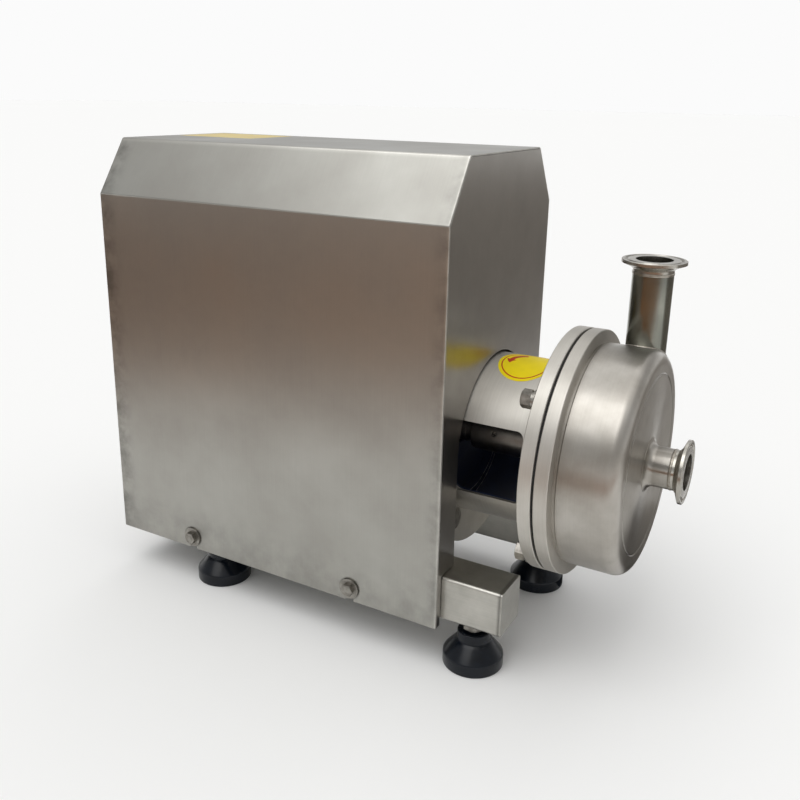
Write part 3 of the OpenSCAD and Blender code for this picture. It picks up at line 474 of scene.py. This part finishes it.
def rounded(points, radius, steps=4):
    """Rounds the inner corners of an open line of points in mm, over under half of each side."""
    most = 0.45
    result = [points[0]]
    for before, corner, after in zip(points, points[1:], points[2:]):
        b, c, a = Vector(before), Vector(corner), Vector(after)
        reach = min(radius, (b - c).length * most, (a - c).length * most)
        start, end = c + (b - c).normalized() * reach, c + (a - c).normalized() * reach
        for i in range(steps + 1):
            t = i / steps
            result.append(tuple(start * (1 - t) ** 2 + c * 2 * t * (1 - t) + end * t * t))
    result.append(points[-1])
    return result


def ring_bead(bm, place, radius, width, height, ripple):
    """A weld bead round the local Z axis, in mm. Ripple is the share by which its height swells."""
    steps, arc, ripple_steps = 180, 9, 6
    rows = []
    for i in range(steps):
        a = 2 * math.pi * i / steps
        swell = 1 + ripple * math.sin(a * steps / ripple_steps)
        row = []
        for j in range(arc):
            t = math.pi * j / (arc - 1)
            r = radius + height * swell * math.sin(t)
            row.append(bm.verts.new(place @ Vector((r * MM * math.cos(a), r * MM * math.sin(a),
                                                    -width / 2 * math.cos(t) * MM))))
        rows.append(row)
    bridge(bm, rows, True)


class PumpSizes(bpy.types.PropertyGroup):
    """Sizes of what is added to the frame."""
    thread_pitch: FloatProperty(
        name="Thread pitch", description="Pitch of the levelling stems",
        default=1.75 * MM, unit="LENGTH")
    weld_width: FloatProperty(
        name="Weld width", description="Width of the weld at the outlet's foot",
        default=2.6 * MM, unit="LENGTH")
    sticker_long: FloatProperty(
        name="Sticker length", description="Length of the lantern's sticker round the tube",
        default=54 * MM, unit="LENGTH")
    sticker_wide: FloatProperty(
        name="Sticker width", description="Width of the lantern's sticker along the shaft",
        default=46 * MM, unit="LENGTH")
    sheet_edge: FloatProperty(
        name="Sheet edge", description="Rounding of the hood's cut edges",
        default=0.7 * MM, unit="LENGTH")


class PumpColours(bpy.types.PropertyGroup):
    """Colours that a user may change."""
    sticker: FloatVectorProperty(
        name="Sticker", description="Ground colour of the lantern's sticker",
        subtype="COLOR", size=4, default=linear("#FBE30C"))
    sticker_print: FloatVectorProperty(
        name="Print", description="Colour of the sticker's ring and arrow",
        subtype="COLOR", size=4, default=linear("#C23A16"))
    floor: FloatVectorProperty(
        name="Floor", description="Colour of the studio floor",
        subtype="COLOR", size=4, default=linear("#F6F6F5"))


class PUMP_OT_hood(bpy.types.Operator):
    """Brushed hood with its plain top label"""
    bl_idname = "pump.hood"
    bl_label = "Hood"

    # How far the bevels lean in, and the label's reach on the flat top.
    bevel_lean = 31 * MM
    label_x = (-246 * MM, -160 * MM)
    label_y = (-4 * MM, 62 * MM)

    def execute(self, context):
        edge = context.scene.pump_sizes.sheet_edge
        dress("stainless_sheet_brushed", "hood_wrap", edge=edge)
        dress("stainless_wall_brushed", "hood_front", edge=edge / 2)
        dress("stainless_wall_brushed", "hood_rear")
        sheet = finish("stainless_sheet_brushed")
        low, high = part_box("hood_wrap")
        # Weld tint along the front and rear edges, wash marks and dirt along the lower one.
        grime(sheet, "X", high[0], high[0] - 16 * MM, patch=14, depth=0.26)
        grime(sheet, "X", low[0], low[0] + 24 * MM, patch=16, depth=0.46)
        grime(sheet, "Z", low[2], low[2] + 60 * MM, patch=22, depth=0.22)
        # Painted shadow round the washers, where they sit on the sheet.
        under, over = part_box("hood_washers")
        washer, level = (over[2] - under[2]) / 2, (over[2] + under[2]) / 2
        painted_shadow_rings(sheet, ((under[0] + washer, level), (over[0] - washer, level)), washer,
                   width=1.8 * MM, gain=0.45)
        # Painted highlight along the upper folds and the front edge.
        fold = high[1] - self.bevel_lean
        tint_and_painted_light_lines(sheet, (("Y", -fold), ("Y", fold), ("X", high[0])), width=2.6 * MM, gain=1.35)
        # A plain label, flush on the flat top near its rear left corner.
        coat_over(sheet, (("X", *self.label_x), ("Y", *self.label_y),
                          ("Z", high[2] - MM, high[2] + MM)), "vinyl_label_faded")
        return {"FINISHED"}


class PUMP_OT_fasteners(bpy.types.Operator):
    """Screws, bolts, nuts and washers"""
    bl_idname = "pump.fasteners"
    bl_label = "Fasteners"

    def execute(self, context):
        dress("stainless_cold_formed", "hood_screws", "hood_washers", "lock_nuts", "motor_bolts",
              "motor_washers", "motor_nuts", "lantern_bolts", "lantern_nuts", "casing_bolts",
              "casing_washers", "impeller_nut", "lid_screws", "set_screws")
        return {"FINISHED"}


class PUMP_OT_stand(bpy.types.Operator):
    """Square tube rails with caps, cross tubes and bushes"""
    bl_idname = "pump.stand"
    bl_label = "Stand"

    def execute(self, context):
        dress("stainless_tube_drawn", "rail_left", "rail_right", "cross_tubes", "foot_bushes",
              "hood_bosses")
        dress("stainless_tube_drawn", "rail_caps", edge=0.3 * MM)
        # Weld tint where the caps close the rails.
        low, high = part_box("rail_left")
        tint_and_painted_light_lines(finish("stainless_tube_drawn"), (("X", low[0]), ("X", high[0])),
                    width=2.6 * MM, gain=0.6)
        return {"FINISHED"}


class PUMP_OT_feet(bpy.types.Operator):
    """Levelling feet: moulded pads on threaded stems"""
    bl_idname = "pump.feet"
    bl_label = "Feet"

    # Radius and height in mm, from the recess below, over the cone and collar, into the bore.
    pad_outline = ((7.2, 0.4), (22.0, 0.4), (22.6, 0), (25, 0), (25, 10), (15.7, 21), (13.5, 23),
                   (13.5, 30.5), (6.1, 30.5), (6.1, 14.2), (7.2, 14.2), (7.2, 0.4))
    pad_rounding = 1.3

    def execute(self, context):
        pitch = context.scene.pump_sizes.thread_pitch
        profile = rounded(self.pad_outline, self.pad_rounding)[:-1]
        for foot in FEET:
            low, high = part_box(foot + "_pad")
            centre = Vector(((low[0] + high[0]) / 2, (low[1] + high[1]) / 2, 0))
            bm = bmesh.new()
            lathe(bm, profile, Matrix.Translation(centre), 128)
            piece(foot + "_moulding", bm, finish("nylon_moulded_black"), foot,
                  (foot + "_pad",))
            self.stem(foot, centre, pitch)
        return {"FINISHED"}

    @staticmethod
    def stem(foot, centre, pitch):
        """A stem with a rolled thread, chamfered at its top end."""
        low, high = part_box(foot + "_stem")
        major, minor, chamfer = 5.98 * MM, 5.0 * MM, 1.5 * MM
        # Slope and start of the flanks, which leave flats on the crests and in the roots.
        steep, root = 1.3, 0.15
        around, per_turn = 36, 6
        rows = []
        bm = bmesh.new()
        count = int((high[2] - low[2]) / pitch * per_turn)
        for i in range(count + 1):
            z = low[2] + (high[2] - low[2]) * i / count
            row = []
            for j in range(around):
                a = 2 * math.pi * j / around
                wave = abs(((z / pitch - j / around) % 1) * 2 - 1)
                r = minor + (major - minor) * min(1, max(0, wave * steep - root))
                if z > high[2] - chamfer:
                    r = min(r, major - chamfer + (high[2] - z))
                row.append(bm.verts.new((centre.x + r * math.cos(a),
                                         centre.y + r * math.sin(a), z)))
            rows.append(row)
        bridge(bm, rows, False)
        bm.faces.new(list(reversed(rows[0])))
        bm.faces.new(rows[-1])
        piece(foot + "_thread", bm, finish("stainless_cold_formed"), foot,
              (foot + "_stem",))


class PUMP_OT_motor(bpy.types.Operator):
    """Motor, from its flange to the fan cowl"""
    bl_idname = "pump.motor"
    bl_label = "Motor"

    # Radius and half width in mm of the flange's rubbed bare edges, which carry a painted
    # highlight, and how far they stand out at the rim and the crown. The root is sunk in the
    # flange.
    bare_highlight_edges = ((57.0, 0.55), (63.35, 0.6))
    rim_lift, crown_lift, root = 0.02, 0.12, -0.2

    def execute(self, context):
        dress("enamel_sprayed", "motor_frame", "rear_shield", "fan_cowl")
        dress("enamel_sprayed", "terminal_box", "terminal_lid", edge=1.2 * MM)
        dress("cast_iron_primed", "front_shield")
        dress("lamination_stacked", "motor_stator", "rotor_core")
        dress("bearing_steel_ground", "front_bearing", "rear_bearing")
        dress("nylon_moulded_black", "fan", "cable_gland")
        dress("rubber_sheet", "motor_pads")
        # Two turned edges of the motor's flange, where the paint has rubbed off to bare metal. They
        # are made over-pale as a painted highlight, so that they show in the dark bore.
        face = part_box("front_shield")[1][0]
        turn = Matrix.Translation((face, 0, SHAFT_Z)) @ ALONG_SHAFT
        bm = bmesh.new()
        for radius, wide in self.bare_highlight_edges:
            crown = wide * 0.4
            profile = ((radius - wide, self.rim_lift), (radius - crown, self.crown_lift),
                       (radius + crown, self.crown_lift), (radius + wide, self.rim_lift),
                       (radius, self.root))
            lathe(bm, profile, turn, 160)
        piece("motor_flange_edges", bm, finish("bare_iron_painted_highlight"), "base")
        return {"FINISHED"}


class PUMP_OT_lantern(bpy.types.Operator):
    """Turned lantern with its plain rotation sticker"""
    bl_idname = "pump.lantern"
    bl_label = "Lantern"

    # Radius inside the tube within which the bore gets painted shade, depth of the bare end, radius
    # of the tube outside.
    bore, bare_end, tube = 66 * MM, 11 * MM, 69 * MM
    sticker_x, sticker_turn = 120.5 * MM, math.radians(97)
    sticker_thick, sticker_gap = 0.15 * MM, 0.01 * MM
    # Print, in shares of the sticker's 50 mm: a ring 1 mm wide near the rim, and a bent arrow
    # 4 mm wide. The arrow's bar and head are given by their angles in radians.
    ring, ring_half = 0.435, 0.011
    arrow, arrow_half, head_half = 0.31, 0.042, 0.095
    bar_middle, bar_half = -0.65, 0.55
    head_start, head_tip = -0.12, 0.30
    # Size in mm of the worn patches, and how far they dull and lighten the ink.
    wear_size, wear_dull, wear_light = 12, 0.94, 1.03

    def execute(self, context):
        dress("stainless_turned", "lantern")
        # The tube's bore gets the navy of the motor's flange as painted shade. The pump side's face
        # stays bare.
        low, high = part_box("lantern")
        coat_over(finish("stainless_turned"),
                  (("R", 0.0, self.bore), ("X", low[0] - MM, high[0] - self.bare_end)),
                  "navy_bore_painted_shade")
        self.sticker(context.scene.pump_sizes, self.vinyl(context.scene.pump_colours))
        return {"FINISHED"}

    def sticker(self, sizes, vinyl):
        """An oval vinyl sticker bent round the tube."""
        steps, rings = 96, 10
        bm = bmesh.new()
        uv = bm.loops.layers.uv.new("Sticker")
        at = {}

        def point(i, j, lift):
            a, f = 2 * math.pi * i / steps, j / rings
            u, v = f * math.cos(a), f * math.sin(a)
            turn = self.sticker_turn + v * sizes.sticker_long / 2 / self.tube
            r = self.tube + lift
            vert = bm.verts.new((self.sticker_x + u * sizes.sticker_wide / 2, r * math.cos(turn),
                                 SHAFT_Z + r * math.sin(turn)))
            at[vert] = (u * 0.5 + 0.5, v * 0.5 + 0.5)
            return vert

        top, under = self.sticker_thick, self.sticker_gap
        rows = [[point(i, j, top) for i in range(steps)] for j in range(1, rings + 1)]
        rows += [[point(i, j, under) for i in range(steps)] for j in range(rings, 0, -1)]
        bridge(bm, rows, False)
        for middle, row in ((point(0, 0, top), rows[0]), (point(0, 0, under), rows[-1])):
            for i in range(steps):
                bm.faces.new((middle, row[i], row[(i + 1) % steps]))
        for face in bm.faces:
            for loop in face.loops:
                loop[uv].uv = at[loop.vert]
        piece("lantern_sticker", bm, vinyl, "base")

    def vinyl(self, colours):
        """Printed vinyl, satin: flat yellow ink with a ring and a bent arrow, a little worn."""
        material, tree, shader = blank_material("vinyl_printed_yellow", **{
            "Roughness": 0.42, "IOR": COAT_IOR, "Specular IOR Level": 0.25})
        spot = add(tree, "ShaderNodeUVMap", uv_map="Sticker").outputs[0]
        centred = add(tree, "ShaderNodeVectorMath", {1: (0.5, 0.5, 0)}, {0: spot},
                      operation="SUBTRACT").outputs[0]
        radius = add(tree, "ShaderNodeVectorMath", links={0: centred},
                     operation="LENGTH").outputs["Value"]
        parts = add(tree, "ShaderNodeSeparateXYZ", links={"Vector": centred}).outputs
        left = add(tree, "ShaderNodeMath", {1: -1.0}, {0: parts["X"]}, operation="MULTIPLY")
        angle = add(tree, "ShaderNodeMath", links={0: parts["Y"], 1: left.outputs[0]},
                    operation="ARCTAN2").outputs[0]
        ring = add(tree, "ShaderNodeMath", {1: self.ring, 2: self.ring_half}, {0: radius},
                   operation="COMPARE")
        band = add(tree, "ShaderNodeMath", {1: self.arrow, 2: self.arrow_half}, {0: radius},
                   operation="COMPARE")
        arc = add(tree, "ShaderNodeMath", {1: self.bar_middle, 2: self.bar_half}, {0: angle},
                  operation="COMPARE")
        bar = add(tree, "ShaderNodeMath", links={0: band.outputs[0], 1: arc.outputs[0]},
                  operation="MULTIPLY")
        taper = add(tree, "ShaderNodeMapRange",
                    {"From Min": self.head_start, "From Max": self.head_tip,
                     "To Min": self.head_half, "To Max": 0.0}, {"Value": angle})
        off = add(tree, "ShaderNodeMath", {1: self.arrow}, {0: radius}, operation="SUBTRACT")
        away = add(tree, "ShaderNodeMath", links={0: off.outputs[0]}, operation="ABSOLUTE")
        inside = add(tree, "ShaderNodeMath", links={0: away.outputs[0], 1: taper.outputs[0]},
                     operation="LESS_THAN")
        past = add(tree, "ShaderNodeMath", {1: self.head_start}, {0: angle},
                   operation="GREATER_THAN")
        head = add(tree, "ShaderNodeMath", links={0: inside.outputs[0], 1: past.outputs[0]},
                   operation="MULTIPLY")
        arrow = add(tree, "ShaderNodeMath", links={0: bar.outputs[0], 1: head.outputs[0]},
                    operation="MAXIMUM")
        ink = add(tree, "ShaderNodeMath", links={0: arrow.outputs[0], 1: ring.outputs[0]},
                  operation="MAXIMUM")
        place = add(tree, "ShaderNodeTexCoord").outputs["Object"]
        fade = add(tree, "ShaderNodeTexNoise",
                   {"Scale": per_mm(self.wear_size)[0], "Detail": 3.0}, {"Vector": place})
        worn = add(tree, "ShaderNodeMapRange",
                   {**NOISE, "To Min": self.wear_dull, "To Max": self.wear_light},
                   {"Value": fade.outputs["Fac"]})
        printed = add(tree, "ShaderNodeMix",
                      {6: tuple(colours.sticker), 7: tuple(colours.sticker_print)},
                      {0: ink.outputs[0]}, data_type="RGBA")
        colour = add(tree, "ShaderNodeVectorMath",
                     links={0: printed.outputs[2], "Scale": worn.outputs[0]}, operation="SCALE")
        tree.links.new(colour.outputs[0], shader.inputs["Base Color"])
        return material


class PUMP_OT_casing(bpy.types.Operator):
    """Pump casing with its flange, cover, seals and joint ring"""
    bl_idname = "pump.casing"
    bl_label = "Casing"

    # Where the turned face blends into the spun shoulder, back from the face, and how far the
    # face's crease lies in from the rim.
    blend_start, blend_end = 6 * MM, 0.5 * MM
    crease_in = 18 * MM

    def execute(self, context):
        dress("stainless_turned_flange", "casing_flange", "back_cover")
        dress("stainless_spun", "casing_shell")
        dress("rubber_sheet", "flange_gasket", "cover_ring")
        dress("ceramic_lapped", "seal_seat")
        shell = finish("stainless_spun")
        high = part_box("casing_shell")[1]
        steel_over(shell, "stainless_face_turned", high[0] - self.blend_start,
                   high[0] - self.blend_end)
        # Painted shade along the crease in the face.
        tint_and_painted_light_lines(shell, (("R", high[1] - self.crease_in),), width=2.4 * MM, gain=0.7)
        return {"FINISHED"}


class PUMP_OT_pipes(bpy.types.Operator):
    """Pipes with polished clamp ends and their welds"""
    bl_idname = "pump.pipes"
    bl_label = "Pipes"

    # The ferrules' welds in mm: radius, width, height, and the share by which they ripple.
    ferrule_bead = (15.95, 2.4, 0.35, 0.12)
    # The outlet's weld: radius of the shoulder that it crosses, its distance off the pipe, the
    # share by which it ripples and the steps in one ripple.
    shoulder, weld_off = 10.5 * MM, 0.2 * MM
    weld_ripple, ripple_steps = 0.14, 4

    def execute(self, context):
        dress("stainless_pipe_satin", "outlet_pipe")
        dress("stainless_face_turned", "inlet_pipe")
        dress("stainless_polished", "inlet_ferrule", "outlet_ferrule")
        self.foot_weld(context.scene.pump_sizes.weld_width)
        bm = bmesh.new()
        low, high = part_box("outlet_ferrule")
        centre = Vector(((low[0] + high[0]) / 2, (low[1] + high[1]) / 2, low[2]))
        ring_bead(bm, Matrix.Translation(centre), *self.ferrule_bead)
        low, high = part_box("inlet_ferrule")
        ring_bead(bm, Matrix.Translation((low[0], 0, SHAFT_Z)) @ ALONG_SHAFT, *self.ferrule_bead)
        piece("ferrule_welds", bm, finish("weld_metal_brushed"), "base")
        return {"FINISHED"}

    def foot_weld(self, width):
        """The weld where the outlet pipe meets the shell, over the cylinder and its shoulder."""
        low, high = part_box("outlet_pipe")
        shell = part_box("casing_shell")
        cx, cy = (low[0] + high[0]) / 2, (low[1] + high[1]) / 2
        reach = (high[0] - low[0]) / 2 + self.weld_off
        shell_r, bend = (shell[1][1] - shell[0][1]) / 2, shell[1][0] - self.shoulder
        steps, sides = 168, 10
        centres, ups = [], []
        for i in range(steps):
            a = 2 * math.pi * i / steps
            out = Vector((math.cos(a), math.sin(a), 0))
            x, y, r = cx + out.x * reach, cy + out.y * reach, shell_r
            if x > bend:
                r += math.sqrt(max(0, self.shoulder ** 2 - (x - bend) ** 2)) - self.shoulder
            centres.append(Vector((x, y, SHAFT_Z + math.sqrt(r * r - y * y))))
            ups.append((out + Vector((0, 0, 1))).normalized())
        bm = bmesh.new()
        rows = []
        for i, (point, up) in enumerate(zip(centres, ups)):
            ahead = (centres[(i + 1) % steps] - centres[i - 1]).normalized()
            side = ahead.cross(up).normalized()
            lift = side.cross(ahead).normalized()
            swell = 1 + self.weld_ripple * math.sin(i * 2 * math.pi / self.ripple_steps)
            row = []
            for j in range(sides):
                t = 2 * math.pi * j / sides
                row.append(bm.verts.new(point + side * (width / 2 * swell * math.cos(t))
                                        + lift * (width / 4 * swell * math.sin(t))))
            rows.append(row)
        bridge(bm, rows, True)
        piece("outlet_weld", bm, finish("weld_metal_brushed"), "base")


class PUMP_OT_rotor(bpy.types.Operator):
    """Turning parts: shafts, seal and impeller"""
    bl_idname = "pump.rotor"
    bl_label = "Rotor"

    def execute(self, context):
        dress("shaft_steel_ground", "motor_shaft", "stub_shaft")
        dress("stainless_turned_flange", "impeller", "seal_head")
        dress("carbon_pressed", "seal_ring")
        return {"FINISHED"}


class PUMP_OT_stage(bpy.types.Operator):
    """Pale floor, soft light and the camera"""
    bl_idname = "pump.stage"
    bl_label = "Stage"

    floor_half = 30
    # The room's grey level by height, from the floor line over the walls to the ceiling.
    room = ((0.10, 0.965), (0.28, 0.44), (0.66, 0.44), (0.88, 1.25))
    window_aim, window_edge, window_level = (-0.1, 0.72, 0.68), (0.90, 0.98), 0.45
    key_aim, key_energy, key_angle = (-0.15, -0.50, 0.85), 0.80, math.radians(46)
    mat_height = 2 * MM
    # Felt mats on and beside the paper: name, tone and corners in metres.
    mats = (
        ("mat_front", "#91694A", ((-1.0, -9), (9, -9), (9, -0.80), (0.40, -0.80), (-1.0, -0.36))),
        ("mat_left", "#70513A", ((-9, -9), (-1.0, -9), (-1.0, -0.36), (-9, -0.36))),
        ("mat_right", "#7C766F", ((0.33, 0.25), (6, 0.25), (6, 6), (0.33, 6))),
        ("mat_under", "#4B4845", ((0.10, 0.07), (0.33, 0.07), (0.33, 0.30), (0.10, 0.30))),
    )
    # The camera fitted to the photograph: image width, focal length and optical centre in pixels,
    # then its angles and its place in metres.
    image, focal, optical = 800, 878.73, (387.90, 357.77)
    turn, rise, roll = math.radians(29.637), math.radians(16.694), math.radians(0.942)
    eye = (0.35845, -0.65519, 0.44863)

    def execute(self, context):
        scene = context.scene
        scene.view_settings.view_transform = "Standard"
        self.floor(scene)
        self.world(scene)
        self.lamp(scene)
        self.felt(scene)
        self.camera(scene)
        return {"FINISHED"}

    def floor(self, scene):
        """A large matt paper floor."""
        bm = bmesh.new()
        bmesh.ops.create_grid(bm, x_segments=8, y_segments=8, size=self.floor_half)
        mesh = bpy.data.meshes.new("studio_floor")
        bm.to_mesh(mesh)
        bm.free()
        obj = bpy.data.objects.new("studio_floor", mesh)
        scene.collection.objects.link(obj)
        mesh.materials.append(blank_material("paper_matt_white", **{
            "Base Color": tuple(scene.pump_colours.floor), "Roughness": 1.0,
            "Specular IOR Level": 0.0})[0])

    def world(self, scene):
        """A plain room: white walls, a grey upper wall, a bright ceiling, a soft window behind."""
        world = bpy.data.worlds.new("studio_room")
        world.use_nodes = True
        tree = world.node_tree
        tree.nodes.clear()
        aim = add(tree, "ShaderNodeTexCoord").outputs["Generated"]
        height = add(tree, "ShaderNodeSeparateXYZ", links={"Vector": aim}).outputs["Z"]
        room = add(tree, "ShaderNodeValToRGB", links={"Fac": height})
        stops = room.color_ramp.elements
        first, *middle, last = self.room
        for at, level in middle:
            stops.new(at).color = (level, level, level, 1)
        for stop, (at, level) in ((stops[0], first), (stops[-1], last)):
            stop.position, stop.color = at, (level, level, level, 1)
        toward = add(tree, "ShaderNodeVectorMath", {1: Vector(self.window_aim).normalized()},
                     {0: aim}, operation="DOT_PRODUCT")
        window = add(tree, "ShaderNodeMapRange",
                     {"From Min": self.window_edge[0], "From Max": self.window_edge[1],
                      "To Min": 0.0, "To Max": self.window_level},
                     {"Value": toward.outputs["Value"]}, interpolation_type="SMOOTHSTEP")
        light = add(tree, "ShaderNodeVectorMath", links={0: room.outputs[0], 1: window.outputs[0]},
                    operation="ADD")
        glow = add(tree, "ShaderNodeBackground", {"Strength": 1.0}, {"Color": light.outputs[0]})
        add(tree, "ShaderNodeOutputWorld", links={"Surface": glow.outputs[0]})
        scene.world = world

    def lamp(self, scene):
        """One wide soft key from above the camera's left shoulder."""
        data = bpy.data.lights.new("soft_key", "SUN")
        data.energy = self.key_energy
        data.angle = self.key_angle
        lamp = bpy.data.objects.new("soft_key", data)
        scene.collection.objects.link(lamp)
        aim = Vector(self.key_aim)
        lamp.rotation_euler = aim.to_track_quat("Z", "Y").to_euler()
        lamp.location = aim * 2

    def felt(self, scene):
        """The mats, which only the metal sees. They stand for a room that is darker below."""
        for name, tone, corners in self.mats:
            mesh = bpy.data.meshes.new(name)
            mesh.from_pydata([(x, y, self.mat_height) for x, y in corners], [],
                             [range(len(corners))])
            mesh.materials.append(blank_material(name + "_felt", **{
                "Base Color": linear(tone), "Roughness": 1.0, "Specular IOR Level": 0.0})[0])
            obj = bpy.data.objects.new(name, mesh)
            scene.collection.objects.link(obj)
            obj.visible_camera = obj.visible_diffuse = obj.visible_shadow = False

    def camera(self, scene):
        """The camera at the photograph's angle."""
        level, half = math.cos(self.rise), self.image / 2
        back = Vector((math.sin(self.turn) * level, -math.cos(self.turn) * level,
                       math.sin(self.rise)))
        right = (-back).cross(Vector((0, 0, 1))).normalized()
        up = right.cross(-back)
        c, s = math.cos(self.roll), math.sin(self.roll)
        right, up = c * right + s * up, -s * right + c * up
        data = bpy.data.cameras.new("camera")
        data.sensor_fit = "HORIZONTAL"
        data.sensor_width = 36
        data.lens = self.focal / self.image * data.sensor_width
        data.shift_x = (half - self.optical[0]) / self.image
        data.shift_y = (self.optical[1] - half) / self.image
        data.clip_start = 0.01
        obj = bpy.data.objects.new("camera", data)
        place = Matrix((right, up, back)).transposed().to_4x4()
        place.translation = Vector(self.eye)
        obj.matrix_world = place
        scene.collection.objects.link(obj)
        scene.camera = obj


STEPS = (PUMP_OT_stage, PUMP_OT_hood, PUMP_OT_fasteners, PUMP_OT_stand, PUMP_OT_feet,
         PUMP_OT_motor, PUMP_OT_lantern, PUMP_OT_casing, PUMP_OT_pipes, PUMP_OT_rotor)


class PUMP_PT_panel(bpy.types.Panel):
    """Lists the pump's steps in the sidebar"""
    bl_idname = "PUMP_PT_panel"
    bl_label = "Pump"
    bl_space_type = "VIEW_3D"
    bl_region_type = "UI"
    bl_category = "Pump"

    def draw(self, context):
        for step in STEPS:
            self.layout.operator(step.bl_idname)
        for group in (context.scene.pump_sizes, context.scene.pump_colours):
            for name in group.__annotations__:
                self.layout.prop(group, name)


CLASSES = (PumpSizes, PumpColours) + STEPS + (PUMP_PT_panel,)


def register():
    for cls in CLASSES:
        bpy.utils.register_class(cls)
    bpy.types.Scene.pump_sizes = PointerProperty(type=PumpSizes)
    bpy.types.Scene.pump_colours = PointerProperty(type=PumpColours)


def unregister():
    del bpy.types.Scene.pump_colours
    del bpy.types.Scene.pump_sizes
    for cls in reversed(CLASSES):
        bpy.utils.unregister_class(cls)


def main():
    register()
    for step in STEPS:
        group, name = step.bl_idname.split(".")
        getattr(getattr(bpy.ops, group), name)()


if __name__ == "__main__":
    main()
